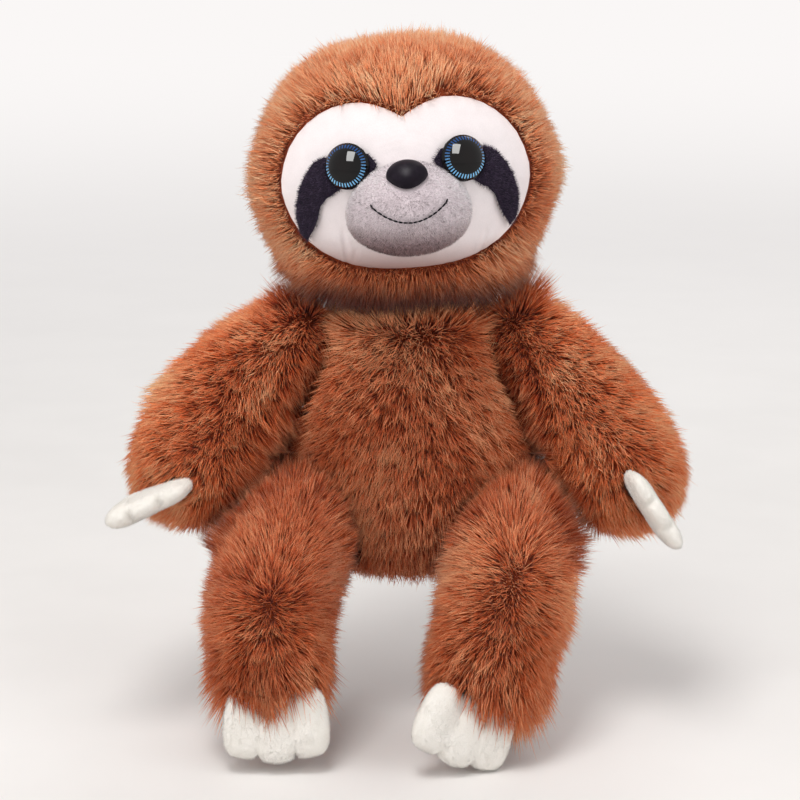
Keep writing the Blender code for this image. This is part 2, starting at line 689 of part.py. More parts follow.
def make_nose(cover, filling):
    """The safety nose on the top front of the muzzle, with its shank and the washer inside."""
    x, z = 0.0, MUZZLE_HALF_HEIGHT * math.sin(NOSE_ANGLE)
    y = muzzle_point(x, z, GAP)
    normal = Vector((0.0, -math.cos(NOSE_ANGLE) / MUZZLE_REACH, math.sin(NOSE_ANGLE) / MUZZLE_HALF_HEIGHT)).normalized()
    seat = frame_at("nose_seat", (x, y, MUZZLE_HEIGHT + z), NECK, normal.to_track_quat("Z", "Y").to_matrix().to_4x4())
    profile = dome_profile(NOSE_HALF_WIDTH, NOSE_DOME, 0.0)
    nose = turned("nose", profile, SMALL_STEPS, NOSE_HALF_HEIGHT / NOSE_HALF_WIDTH, PARTS, seat)
    for vert in nose.data.vertices:
        vert.co.x *= 1 - NOSE_POINT_SHARE * max(0.0, -vert.co.y / NOSE_HALF_HEIGHT)
    shank = turned(
        "nose_shank", shank_profile(SHANK_RADIUS, GAP, NOSE_SHANK_LENGTH, 0.0), SMALL_STEPS, 1.0, TOOLS, seat
    )
    boolean(nose, shank, "UNION")
    washer_front = -MUZZLE_WALL - 2 * GAP - WASHER_SETBACK
    ring = washer("nose_washer", NOSE_WASHER_RADIUS, washer_front, seat)
    for solid in (cover, filling, ring):
        boolean(solid, shank_tool("nose_shank_room", SHANK_RADIUS, NOSE_DOME, NOSE_SHANK_LENGTH, seat))
    boolean(filling, washer_room(NOSE_WASHER_RADIUS, washer_front, seat))
    dressed(nose, NOSE_DARK)
    dressed(ring, WASHER_WHITE)


def make_mouth():
    """The stitched smile: a thread that lies on the muzzle in one shallow arc."""
    curve = bpy.data.curves.new("mouth_stitch", "CURVE")
    curve.dimensions = "3D"
    curve.bevel_depth = THREAD_RADIUS
    curve.bevel_resolution = 1
    curve.use_fill_caps = True
    count = SMALL_STEPS
    spline = curve.splines.new("POLY")
    spline.points.add(count)
    for i, point in enumerate(spline.points):
        across = 2 * i / count - 1
        x = across * MOUTH_HALF_WIDTH
        z = MOUTH_TOP - MUZZLE_HEIGHT - MOUTH_SAG * (1 - across**2)
        point.co = (x, muzzle_point(x, z, THREAD_RADIUS + GAP), MUZZLE_HEIGHT + z, 1.0)
    guide = object_of("mouth_path", curve, TOOLS)
    solid = evaluated_mesh(guide, "mouth_stitch")
    bpy.data.objects.remove(guide, do_unlink=True)
    dressed(object_of("mouth_stitch", solid, PARTS, NECK), THREAD_BLACK)


def make_arm(name, side):
    place = (side * SHOULDER_SPREAD[name], 0.0, SHOULDER_HEIGHT)
    frame = frame_at(f"{name}_shoulder", place, ROOT)
    reach = Vector((side * ARM_OUT[name], -ARM_FORWARD, -ARM_DOWN[name]))
    sizes = (reach, ARM_PATH_SHARES[name], ARM_RADIUS, ARM_RADIUS_SHARES)
    limb = make_limb(f"{name}_arm", frame, *sizes)
    toe_sizes = (HAND_TOE_WIDTH, HAND_TOE_LENGTH, HAND_TOE_THICKNESS)
    make_claws(f"{name}_hand", limb, frame, reach, ARM_RADIUS, *toe_sizes)
    axis = shoulder_axis(side)
    limits = ARM_SWING if side > 0 else (-ARM_SWING[1], -ARM_SWING[0])
    return lambda: limb_room(f"{name}_arm", frame, *sizes, axis, limits)


def make_leg(name, side):
    place = (side * HIP_SPREAD[name], -HIP_FORWARD, HIP_HEIGHT)
    frame = frame_at(f"{name}_hip", place, ROOT)
    reach = Vector((side * LEG_OUT[name], -LEG_FORWARD, -LEG_DOWN[name]))
    sizes = (reach, LEG_PATH_SHARES[name], LEG_RADIUS, LEG_RADIUS_SHARES)
    limb = make_limb(f"{name}_leg", frame, *sizes)
    toe_sizes = (FOOT_TOE_WIDTH, FOOT_TOE_LENGTH, FOOT_TOE_THICKNESS)
    make_claws(f"{name}_foot", limb, frame, reach, LEG_RADIUS, *toe_sizes)
    return lambda: limb_room(f"{name}_leg", frame, *sizes, Vector((1.0, 0.0, 0.0)), LEG_SWING)


clear_scene()
PARTS = bpy.data.collections.new("Plush sloth")
TOOLS = bpy.data.collections.new("Cutters")
bpy.context.scene.collection.children.link(PARTS)
bpy.context.scene.collection.children.link(TOOLS)

ROOT = frame_at("torso_frame", (0.0, 0.0, 0.0))
NECK = frame_at(
    "neck_frame",
    (0.0, 0.0, TORSO_HEIGHT + NECK_SPACE / 2),
    ROOT,
    Matrix.Rotation(-HEAD_ROLL, 4, "Y") @ Matrix.Rotation(HEAD_TURN, 4, "Z"),
)
HEAD_CURVE = np.array(smooth_through(HEAD_SHARES, HEAD_STEPS))
bpy.context.view_layer.update()

swing_rooms = [make_arm(*side) for side in RIGHT_AND_LEFT] + [make_leg(*side) for side in RIGHT_AND_LEFT]
make_torso(swing_rooms)
dressed(ball("neck_filling", NECK_BALL_RADIUS, PARTS, NECK), FILLING_WHITE)
face_panel, head_filling = make_head()
muzzle_pieces = make_muzzle()
for eye_name, eye_side in RIGHT_AND_LEFT:
    make_eye(eye_name, eye_side, face_panel, head_filling, muzzle_pieces)
make_nose(*muzzle_pieces)
make_mouth()
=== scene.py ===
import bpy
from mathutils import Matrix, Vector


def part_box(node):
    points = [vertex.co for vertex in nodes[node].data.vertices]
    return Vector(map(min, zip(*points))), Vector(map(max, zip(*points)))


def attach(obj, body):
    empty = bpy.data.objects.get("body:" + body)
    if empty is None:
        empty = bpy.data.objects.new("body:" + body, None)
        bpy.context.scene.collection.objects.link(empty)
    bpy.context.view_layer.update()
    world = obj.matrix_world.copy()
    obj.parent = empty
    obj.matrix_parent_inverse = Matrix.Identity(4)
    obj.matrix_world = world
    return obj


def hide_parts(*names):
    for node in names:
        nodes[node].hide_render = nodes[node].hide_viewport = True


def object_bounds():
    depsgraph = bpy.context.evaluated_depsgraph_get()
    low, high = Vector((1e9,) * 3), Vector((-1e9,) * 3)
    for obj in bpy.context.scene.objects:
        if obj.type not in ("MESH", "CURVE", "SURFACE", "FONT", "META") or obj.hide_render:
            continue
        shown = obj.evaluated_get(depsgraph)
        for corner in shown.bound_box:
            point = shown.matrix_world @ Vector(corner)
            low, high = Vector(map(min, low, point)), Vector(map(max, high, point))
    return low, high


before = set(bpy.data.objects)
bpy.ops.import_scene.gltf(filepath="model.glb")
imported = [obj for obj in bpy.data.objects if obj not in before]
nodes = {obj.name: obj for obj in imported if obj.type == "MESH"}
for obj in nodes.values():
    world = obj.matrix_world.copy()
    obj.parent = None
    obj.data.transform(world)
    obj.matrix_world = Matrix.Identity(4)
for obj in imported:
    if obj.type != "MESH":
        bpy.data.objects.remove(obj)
cadBox = [list(corner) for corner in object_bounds()]

import math

import bmesh
import bpy
import numpy as np
from mathutils import Matrix, Vector
from mathutils.bvhtree import BVHTree


def paint(*levels):
    # a colour as the eye names it, in levels up to 255, turned to the numbers a shader takes
    shares = [level / 255 for level in levels]
    return tuple(s / 12.92 if s < 0.04045 else ((s + 0.055) / 1.055) ** 2.4 for s in shares) + (1.0,)


def unit(vectors):
    return vectors / np.maximum(np.linalg.norm(vectors, axis=-1, keepdims=True), 1e-9)


def alongSurface(vectors, outward):
    # the part of each vector that lies in the cloth
    return vectors - outward * (vectors * outward).sum(1, keepdims=True)


def rise(values, low, high):
    # 0 below low, 1 above high, eased between them
    t = np.clip((values - low) / (high - low), 0, 1)
    return t * t * (3 - 2 * t)


rippleValues = {"waves": 14, "shortest": 0.75, "longest": 1.4, "calm": 2.6}


def ripple(points, wavelength, seed):
    # a smooth made-up field: its value and its slope at each point
    dice = np.random.default_rng(seed)
    count, calm = rippleValues["waves"], rippleValues["calm"]
    ways = unit(dice.normal(size=(count, 3)))
    lengths = wavelength * dice.uniform(rippleValues["shortest"], rippleValues["longest"], (count, 1))
    waves = ways * (2 * math.pi / lengths)
    phase = points @ waves.T + dice.uniform(0, 2 * math.pi, count)
    value = np.sin(phase).sum(1) / calm
    slope = (np.cos(phase)[:, :, None] * waves[None]).sum(1) * (wavelength / (2 * math.pi) / calm)
    return value, slope


def selectOnly(piece):
    if bpy.context.object and bpy.context.object.mode != "OBJECT":
        bpy.ops.object.mode_set(mode="OBJECT")
    bpy.ops.object.select_all(action="DESELECT")
    piece.select_set(True)
    bpy.context.view_layer.objects.active = piece


def settle(piece):
    # puts the place of a piece into its mesh and leaves its object at the origin
    selectOnly(piece)
    bpy.ops.object.transform_apply(location=True, rotation=True, scale=True)
    return piece


def smoothed(piece):
    selectOnly(piece)
    bpy.ops.object.shade_smooth()
    return piece


def addModifier(piece, kind, **values):
    selectOnly(piece)
    modifier = piece.modifiers.new(kind.lower(), kind)
    for key, value in values.items():
        setattr(modifier, key, value)
    bpy.ops.object.modifier_apply(modifier=modifier.name)


def pointsOf(piece):
    flat = np.empty(len(piece.data.vertices) * 3)
    piece.data.vertices.foreach_get("co", flat)
    return flat.reshape(-1, 3)


def outwardOf(piece):
    flat = np.empty(len(piece.data.vertices) * 3)
    piece.data.vertex_normals.foreach_get("vector", flat)
    return flat.reshape(-1, 3)


def movePoints(piece, points):
    piece.data.vertices.foreach_set("co", np.ascontiguousarray(points, float).ravel())
    piece.data.update()


def treeOf(piece):
    bm = bmesh.new()
    bm.from_mesh(piece.data)
    tree = BVHTree.FromBMesh(bm)
    bm.free()
    return tree


def distances(tree, points):
    return np.array([tree.find_nearest(Vector(point))[3] for point in points])


def copyOf(nodeName, name):
    # a piece cut from a CAD node's shape, with its loose triangles merged
    piece = bpy.data.objects.new(name, nodes[nodeName].data.copy())
    bpy.context.scene.collection.objects.link(piece)
    piece.data.materials.clear()
    selectOnly(piece)
    bpy.ops.mesh.customdata_custom_splitnormals_clear()
    bpy.ops.object.mode_set(mode="EDIT")
    bpy.ops.mesh.select_all(action="SELECT")
    bpy.ops.mesh.remove_doubles(threshold=1e-5)
    bpy.ops.object.mode_set(mode="OBJECT")
    return piece


def treeOfNode(nodeName):
    # the surface of a CAD node, to measure from
    guide = copyOf(nodeName, nodeName + "_guide")
    tree = treeOf(guide)
    bpy.data.objects.remove(guide, do_unlink=True)
    return tree


def remeshed(piece, voxel, smoothing):
    piece.data.remesh_voxel_size = voxel
    selectOnly(piece)
    bpy.ops.object.voxel_remesh()
    addModifier(piece, "SMOOTH", factor=0.5, iterations=smoothing)
    return smoothed(piece)


puffValues = {"frames": 20, "quality": 4, "mass": 0.3}


def puffed(piece, sewn, pressure, most):
    # the stuffing presses the cloth out, and what is sewn down stays
    before = pointsOf(piece)
    piece.vertex_groups.new(name="sewn").add([int(i) for i in np.nonzero(sewn)[0]], 1.0, "REPLACE")
    selectOnly(piece)
    cloth = piece.modifiers.new("cloth", "CLOTH")
    settings = cloth.settings
    settings.use_pressure, settings.uniform_pressure_force = True, pressure
    settings.effector_weights.gravity = 0.0
    settings.quality, settings.mass = puffValues["quality"], puffValues["mass"]
    settings.vertex_group_mass = "sewn"
    cloth.collision_settings.use_collision = False
    cloth.point_cache.frame_start, cloth.point_cache.frame_end = 1, puffValues["frames"]
    for number in range(1, puffValues["frames"] + 1):
        bpy.context.scene.frame_set(number)
    bpy.ops.object.modifier_apply(modifier=cloth.name)
    bpy.context.scene.frame_set(1)
    piece.vertex_groups.clear()
    moved = pointsOf(piece) - before
    far = np.linalg.norm(moved, axis=1, keepdims=True)
    movePoints(piece, before + moved * np.minimum(1, most / np.maximum(far, 1e-9)))
    print("cloth pressed out:", piece.name, round(1000 * float(np.median(far)), 2), "mm")


def halfBall(name, segments, rings, radius, cutAt):
    # the top of a ball, cut level at one height and closed there
    bpy.ops.object.select_all(action="DESELECT")
    bpy.ops.mesh.primitive_uv_sphere_add(segments=segments, ring_count=rings, radius=radius)
    ball = bpy.context.object
    ball.name = name
    bpy.ops.object.mode_set(mode="EDIT")
    bpy.ops.mesh.select_all(action="SELECT")
    bpy.ops.mesh.bisect(plane_co=(0, 0, cutAt), plane_no=(0, 0, 1), clear_inner=True, use_fill=True)
    bpy.ops.object.mode_set(mode="OBJECT")
    return ball


def seatMatrix(seat):
    side, up, out = (Vector(seat[key]) for key in ("side", "up", "out"))
    return Matrix.Translation(seat["place"]) @ Matrix((side, up, out)).transposed().to_4x4()


def seated(piece, seat):
    # sets a piece in its seat, with its rim left sharp
    piece.data.transform(seatMatrix(seat))
    piece.data.update()
    selectOnly(piece)
    bpy.ops.object.shade_smooth_by_angle(angle=math.radians(50))
    return piece


def wear(piece, finish, body, slot, *replaced):
    piece.data.materials.clear()
    piece.data.materials.append(finish)
    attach(piece, body)
    if replaced:
        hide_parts(*replaced)
    return piece


def dress(nodeName, finish):
    # the finish of a CAD node that is carried over as it is
    nodes[nodeName].data.materials.clear()
    nodes[nodeName].data.materials.append(finish)


# sums on the sockets of a material are written as sums
class Wire:
    def __init__(self, finish, socket):
        self.finish, self.socket = finish, socket

    def math(self, operation, *terms):
        return self.finish.node("ShaderNodeMath", {"operation": operation}, dict(enumerate(terms)))

    def __add__(self, other):
        return self.math("ADD", self, other)

    def __radd__(self, other):
        return self.math("ADD", other, self)

    def __sub__(self, other):
        return self.math("SUBTRACT", self, other)

    def __rsub__(self, other):
        return self.math("SUBTRACT", other, self)

    def __mul__(self, other):
        return self.math("MULTIPLY", self, other)

    def __rmul__(self, other):
        return self.math("MULTIPLY", other, self)

    def __truediv__(self, other):
        return self.math("DIVIDE", self, other)

    def __rtruediv__(self, other):
        return self.math("DIVIDE", other, self)

    def __pow__(self, other):
        return self.math("POWER", self, other)

    def eased(self, low, high):
        return self.finish.node(
            "ShaderNodeMapRange", {"interpolation_type": "SMOOTHSTEP"}, {0: self, 1: low, 2: high, 3: 0.0, 4: 1.0}
        )


class Finish:
    def __init__(self, name, **constants):
        self.material = bpy.data.materials.new(name)
        self.material.use_nodes = True
        self.tree = self.material.node_tree
        self.shader = self.tree.nodes["Principled BSDF"]
        for key, value in constants.items():
            self.shader.inputs[key.replace("_", " ")].default_value = value

    def node(self, kind, settings, inputs, output=0):
        made = self.tree.nodes.new(kind)
        for key, value in settings.items():
            if key == "stops":
                ramp = made.color_ramp
                while len(ramp.elements) < len(value):
                    ramp.elements.new(0.5)
                for element, (place, colour) in zip(ramp.elements, value):
                    element.position, element.color = place, colour
            else:
                setattr(made, key, value)
        for key, value in inputs.items():
            self.join(made.inputs[key], value)
        return Wire(self, made.outputs[output])

    def join(self, socket, value):
        if isinstance(value, Wire):
            self.tree.links.new(value.socket, socket)
        else:
            socket.default_value = value

    def set(self, name, value):
        self.join(self.shader.inputs[name], value)

    def place(self):
        return self.node("ShaderNodeTexCoord", {}, {}, "Object")

    def part(self, vector, axis):
        return self.node("ShaderNodeSeparateXYZ", {}, {0: vector}, axis)

    def noise(self, scale, detail=3.0, rough=0.55):
        inputs = {"Vector": self.place(), "Scale": scale, "Detail": detail, "Roughness": rough}
        return self.node("ShaderNodeTexNoise", {}, inputs)

    def mix(self, amount, first, second, blend="MIX"):
        settings = {"data_type": "RGBA", "blend_type": blend}
        return self.node("ShaderNodeMix", settings, {0: amount, 6: first, 7: second}, 2)

    def ramp(self, value, *stops):
        return self.node("ShaderNodeValToRGB", {"stops": stops}, {0: value})

    def bump(self, height, distance, strength=1.0):
        return self.node("ShaderNodeBump", {}, {"Strength": strength, "Distance": distance, "Height": height})


# the camera stands where the photograph was taken
cameraValues = {"place": (-0.0069, -1.103, 0.341), "tilt": 77.3, "lens": 90.0, "sensor": 36.0}

camera = bpy.data.objects.new("camera", bpy.data.cameras.new("camera"))
bpy.context.scene.collection.objects.link(camera)
camera.location = cameraValues["place"]
camera.rotation_euler = (math.radians(cameraValues["tilt"]), 0, 0)
camera.data.lens, camera.data.sensor_width = cameraValues["lens"], cameraValues["sensor"]
bpy.context.scene.camera = camera
bpy.context.scene.view_settings.view_transform = "Standard"
print("camera set")


# a plain pale floor, which runs into a plain pale backdrop far from the toy
stageValues = {
    "floorDrop": 0.0006, "floorSize": 60.0, "grain": 6.0, "grainRange": (0.3, 0.7), "rough": 0.85, "world": 0.42,
    "floor": paint(236, 234, 232), "floorDeep": paint(232, 230, 228), "far": paint(250, 247, 246),
    "nearby": 1.1, "fade": (0.68, 0.12), "lit": (0, -0.02, 0.12),
}
backdropRays = ("Is Camera Ray", "Is Glossy Ray", "Is Transmission Ray")

bpy.ops.object.select_all(action="DESELECT")
floorPlace = (0, 0, cadBox[0][2] - stageValues["floorDrop"])
bpy.ops.mesh.primitive_plane_add(size=stageValues["floorSize"], location=floorPlace)
floor = settle(bpy.context.object)
floor.name = "floor"
floorFinish = Finish("floorPaint", Roughness=stageValues["rough"])
grain = floorFinish.noise(stageValues["grain"]).eased(*stageValues["grainRange"])
floorFinish.set("Base Color", floorFinish.mix(grain, stageValues["floor"], stageValues["floorDeep"]))
seen = sum(floorFinish.node("ShaderNodeLightPath", {}, {}, ray) for ray in backdropRays)
distance = floorFinish.node("ShaderNodeVectorMath", {"operation": "LENGTH"}, {0: floorFinish.place()}, 1)
pale = floorFinish.node("ShaderNodeEmission", {}, {"Color": stageValues["far"], "Strength": 1.0})
lit = Wire(floorFinish, floorFinish.shader.outputs[0])
away = (1 / (distance + stageValues["nearby"])).eased(*stageValues["fade"])
blended = floorFinish.node("ShaderNodeMixShader", {}, {0: seen.math("MINIMUM", seen, 1.0) * away, 1: lit, 2: pale})
floorFinish.tree.links.new(blended.socket, floorFinish.tree.nodes["Material Output"].inputs[0])
floor.data.materials.append(floorFinish.material)

world = bpy.data.worlds.new("studio")
bpy.context.scene.world = world
world.use_nodes = True
worldTree = world.node_tree
backdrop = worldTree.nodes["Background"]
backdrop.inputs["Color"].default_value = stageValues["far"]
rays = worldTree.nodes.new("ShaderNodeLightPath")
strength = worldTree.nodes.new("ShaderNodeValue")
strength.outputs[0].default_value = stageValues["world"]
direct = strength.outputs[0]
for ray in backdropRays:
    larger = worldTree.nodes.new("ShaderNodeMath")
    larger.operation = "MAXIMUM"
    worldTree.links.new(rays.outputs[ray], larger.inputs[0])
    worldTree.links.new(direct, larger.inputs[1])
    direct = larger.outputs[0]
worldTree.links.new(direct, backdrop.inputs["Strength"])

# four soft lamps light the toy, and the fifth is only the softbox that the eyes mirror
lampValues = {
    "key": {"place": (-0.26, -0.62, 1.55), "size": 0.60, "tall": 0.60, "watts": 12.2, "tint": (1.0, 0.98, 0.96)},
    "side": {"place": (-1.25, -1.05, 0.85), "size": 1.3, "tall": 1.3, "watts": 9.0, "tint": (1.0, 0.985, 0.97)},
    "fill": {"place": (1.35, -0.95, 0.75), "size": 1.3, "tall": 1.3, "watts": 9.0, "tint": (0.98, 0.985, 0.99)},
    "rim": {"place": (0.35, 1.25, 1.25), "size": 1.0, "tall": 1.0, "watts": 8.0, "tint": (1.0, 1.0, 1.0)},
    "glint": {"place": (-0.20, -0.95, 1.45), "size": 0.75, "tall": 1.15, "watts": 62.0, "tint": (1.0, 0.99, 0.98)},
}
for name, values in lampValues.items():
    lamp = bpy.data.objects.new(name, bpy.data.lights.new(name, "AREA"))
    bpy.context.scene.collection.objects.link(lamp)
    lamp.data.shape, lamp.data.size, lamp.data.size_y = "RECTANGLE", values["size"], values["tall"]
    lamp.data.energy, lamp.data.color = values["watts"], values["tint"]
    lamp.visible_glossy, lamp.visible_diffuse = name in ("rim", "glint"), name != "glint"
    lamp.location = values["place"]
    lamp.rotation_euler = (Vector(stageValues["lit"]) - lamp.location).to_track_quat("-Z", "Y").to_euler()
print("floor and lamps set")


def paintedShadeBelow(finish, colour, under):
    # painted shade: the cloth and its pile are darker low down, as if shaded from the light above
    if not under:
        return colour
    height = finish.part(finish.place(), 2)
    return finish.mix(1 - height.eased(under["from"], under["to"]), colour, under["shade"], "MULTIPLY")


pileLook = {"rootReach": 0.42, "tipFrom": 0.55, "rough": 0.66, "tipSmoother": 0.14}
clothLook = {"patch": 14, "grainShare": 0.6, "patchShare": 0.4, "shade": (0.3, 0.68), "smoother": 0.1, "bump": 0.7}
plasticLook = {
    "clouds": 260.0, "specks": 2600.0, "worn": (0.35, 0.75), "rougher": 0.14, "duller": 0.15, "bump": 0.00004,
}


def pileFinish(name, root, low, middle, high, tipLift, under=None):
    # one fibre's colour runs from root to tip, and each fibre has its own tone
    finish = Finish(name, Sheen_Weight=0.08, Sheen_Roughness=0.45, Specular_IOR_Level=0.04)
    uv = finish.node("ShaderNodeUVMap", {"uv_map": "OFBake"}, {})
    tone, along = finish.part(uv, 0), finish.part(uv, 1)
    body = finish.ramp(tone, (0.0, low), (0.5, middle), (1.0, high))
    grown = finish.mix(along.eased(0.0, pileLook["rootReach"]), root, body)
    colour = finish.mix(along.eased(pileLook["tipFrom"], 1.0) * tipLift, grown, high)
    # painted shade is multiplied in low down where under is given
    finish.set("Base Color", paintedShadeBelow(finish, colour, under))
    finish.set("Roughness", pileLook["rough"] - pileLook["tipSmoother"] * along)
    return finish.material


def clothFinish(name, colour, deep, weave, rough, height, under=None):
    # a close cloth with a fine nap: mottled a little, and roughened by its own grain
    finish = Finish(name, Sheen_Weight=0.12, Sheen_Roughness=0.5, Specular_IOR_Level=0.04)
    grain = finish.noise(weave, 4.0, 0.7)
    patchy = finish.noise(weave / clothLook["patch"], 2.0)
    shade = (grain * clothLook["grainShare"] + patchy * clothLook["patchShare"]).eased(*clothLook["shade"])
    # painted shade is multiplied in low down where under is given
    finish.set("Base Color", paintedShadeBelow(finish, finish.mix(shade, deep, colour), under))
    finish.set("Roughness", rough - clothLook["smoother"] * grain)
    finish.set("Normal", finish.bump(grain, height, clothLook["bump"]))
    return finish.material


def plasticFinish(name, colour, worn, rough, coat):
    finish = Finish(name, Coat_Roughness=0.12, Specular_IOR_Level=0.07)
    cloudy = finish.noise(plasticLook["clouds"], 4.0, 0.6)
    fine = finish.noise(plasticLook["specks"], 2.0, 0.6)
    finish.set("Base Color", finish.mix(cloudy.eased(*plasticLook["worn"]), colour, worn))
    finish.set("Roughness", rough + plasticLook["rougher"] * cloudy)
    finish.set("Coat Weight", coat - plasticLook["duller"] * cloudy)
    finish.set("Normal", finish.bump(fine, plasticLook["bump"], 0.5))
    return finish.material


# painted shade: below the chin on the head's pile, low on the muzzle's cloth and pile, and on the face cloth below the
# muzzle
chinShade = {"from": 0.153, "to": 0.173, "shade": paint(142, 130, 142)}
muzzleShade = {"from": 0.188, "to": 0.210, "shade": paint(166, 145, 145)}
faceShade = {"from": 0.172, "to": 0.196, "shade": paint(162, 130, 122)}
# root, low, middle and high tone, the lift of the tips and the painted shade low down
brownPile = pileFinish(
    "brownPile", paint(128, 34, 9), paint(166, 65, 30), paint(224, 115, 67), paint(254, 190, 142), 0.48
)
headPile = pileFinish(
    "headPile", paint(158, 66, 33), paint(198, 100, 58), paint(246, 152, 99), paint(255, 218, 174), 0.48, chinShade
)
armPile = pileFinish(
    "armPile", paint(142, 40, 13), paint(184, 75, 37), paint(245, 133, 78), paint(255, 206, 158), 0.48
)
# the muzzle pile's roots are paler than its low tone: painted light that lifts the shade between its fibres
greyPile = pileFinish(
    "greyPile", paint(184, 170, 175), paint(104, 88, 92), paint(250, 241, 245), paint(255, 253, 254), 0.14,
    muzzleShade,
)
creamPile = pileFinish(
    "creamPile", paint(232, 227, 218), paint(240, 236, 228), paint(248, 245, 239), paint(252, 250, 247), 0.3
)
darkPile = pileFinish(
    "darkPile", paint(34, 27, 40), paint(44, 35, 52), paint(68, 55, 76), paint(98, 84, 108), 0.2
)
# colour, deep colour, weave, roughness and height of the grain
backingCloth = clothFinish("backingCloth", paint(140, 62, 32), paint(104, 44, 22), 900.0, 0.9, 0.0004)
faceCloth = clothFinish(
    "faceCloth", paint(243, 235, 236), paint(234, 226, 227), 1500.0, 0.92, 0.00012, faceShade
)
muzzleCloth = clothFinish(
    "muzzleCloth", paint(218, 206, 211), paint(196, 183, 188), 1500.0, 0.92, 0.0003, muzzleShade
)
creamCloth = clothFinish("creamCloth", paint(249, 246, 240), paint(240, 236, 228), 1300.0, 0.92, 0.0003)
darkCloth = clothFinish("darkCloth", paint(44, 36, 52), paint(28, 23, 35), 1300.0, 0.92, 0.0005)
stuffing = clothFinish("stuffing", paint(240, 240, 238), paint(218, 218, 216), 240.0, 0.95, 0.0012)
threadFinish = clothFinish("blackThread", paint(30, 27, 32), paint(12, 11, 14), 3000.0, 0.75, 0.0002)
# colour, worn colour, roughness and coat
rimPlastic = plasticFinish("rimPlastic", paint(18, 17, 20), paint(30, 29, 33), 0.22, 0.5)
nosePlastic = plasticFinish("nosePlastic", paint(24, 19, 27), paint(34, 28, 37), 0.36, 0.02)
washerNylon = plasticFinish("washerNylon", paint(232, 230, 222), paint(216, 214, 206), 0.42, 0.0)
print("finishes made")


# the cloth backing under the pile, one for each covered form
skinValues = {"sink": 0.0055, "fromStuffing": 0.0072}
covered = ("torso", "head", "right_arm", "left_arm", "right_leg", "left_leg")
skins, outerFaces = {}, {}

for form in covered:
    skin = copyOf(form + "_cover", form + "_skin")
    points = pointsOf(skin)
    isOuter = distances(treeOfNode(form + "_filling"), points) > skinValues["fromStuffing"]
    outer = [face for face in skin.data.polygons if all(isOuter[v] for v in face.vertices)]
    outward = np.zeros_like(points)
    for face in outer:
        for v in face.vertices:
            outward[v] += np.array(face.normal) * face.area
    moved = np.linalg.norm(outward, axis=1) > 0
    outerFaces[form] = (np.array([list(face.vertices) for face in outer]), unit(outward))
    movePoints(skin, points - unit(outward) * skinValues["sink"] * moved[:, None])
    wear(smoothed(skin), backingCloth, form, "plush", form + "_cover")
    skins[form] = skin
print("backing cloths made")


# the stuffing inside
stuffingSink = 0.0012
for form in ("torso", "head", "neck", "muzzle", "right_arm", "left_arm", "right_leg", "left_leg"):
    pad = smoothed(copyOf(form + "_filling", form + "_stuffing"))
    if form != "neck":
        movePoints(pad, pointsOf(pad) - outwardOf(pad) * stuffingSink)
    # brown where an opened joint can show it
    shown = stuffing if form == "muzzle" else backingCloth
    wear(pad, shown, "head" if form == "muzzle" else form, "filling", form + "_filling")
print("stuffing made")


# the face cloth, with the folds that the stretch leaves in it
faceValues = {
    "voxel": 0.0010, "trim": 2, "smoothing": 16, "nearer": 0.0009, "drop": 0.0014, "dropRange": (0.004, 0.010),
    "fold": 0.0010, "foldWidth": 0.0013, "ridge": 0.55, "ridgeAway": 1.9, "foldIn": (-0.15, 0.35), "foldOut": (1.1, 1.6),
}
faceMiddle, headMiddle = np.array((-0.004, -0.075, 0.222)), np.array((0.0, 0.0, 0.222))
# each fold runs from one place to the next, as x and z, and has its share of the depth
folds = (
    (-0.0368, 0.1985, -0.0350, 0.1815, 1.0), (-0.0290, 0.1880, -0.0318, 0.1800, 0.6),
    (0.0388, 0.1990, 0.0362, 0.1850, 1.0), (0.0455, 0.1925, 0.0385, 0.1880, 0.6),
)
face = remeshed(copyOf("face_panel", "face_cloth"), faceValues["voxel"], faceValues["trim"])
cut = pointsOf(face)
addModifier(face, "SMOOTH", factor=0.5, iterations=faceValues["smoothing"])
points = pointsOf(face)
points[:, 0], points[:, 2] = cut[:, 0], cut[:, 2]  # the smoothing rounds its depth and keeps its outline
points += unit(points - headMiddle) * faceValues["nearer"]
for x, z, x2, z2, depth in folds:
    start, run = np.array((x, z)), np.array((x2 - x, z2 - z))
    away = points[:, [0, 2]] - start
    along = away @ run / (run @ run)
    across = np.abs(away[:, 0] * run[1] - away[:, 1] * run[0]) / np.linalg.norm(run) / faceValues["foldWidth"]
    crease = np.exp(-(across**2)) - faceValues["ridge"] * np.exp(-((across - faceValues["ridgeAway"]) ** 2))
    ends = rise(along, *faceValues["foldIn"]) * (1 - rise(along, *faceValues["foldOut"]))
    points[:, 1] += faceValues["fold"] * depth * crease * ends
movePoints(face, points)
wear(face, faceCloth, "head", "white_pile", "face_panel")
faceTree = treeOf(face)
# the head's backing drops a little behind the edge of the face cloth
points = pointsOf(skins["head"])
isOuter = np.linalg.norm(outerFaces["head"][1], axis=1) > 0
dropped = faceValues["drop"] * (1 - rise(distances(faceTree, points), *faceValues["dropRange"])) * isOuter
movePoints(skins["head"], points - unit(points - headMiddle) * dropped[:, None])
print("face cloth made")


# the pile: straight or bent fibres, each a closed three-sided spike
fibreValues = {
    "lengths": (0.78, 1.12), "swell": 0.08, "guardLonger": 1.22, "guardSteeper": 0.85, "tilts": (0.85, 1.15),
    "widths": (0.7, 1.2), "rooted": 0.0004, "midGather": 0.35, "midHold": 0.6, "search": 0.03,
    "bend": (0.25, 0.5, 0.25), "toneBroad": 0.12, "toneFine": 0.06, "tones": (0.03, 0.95),
}
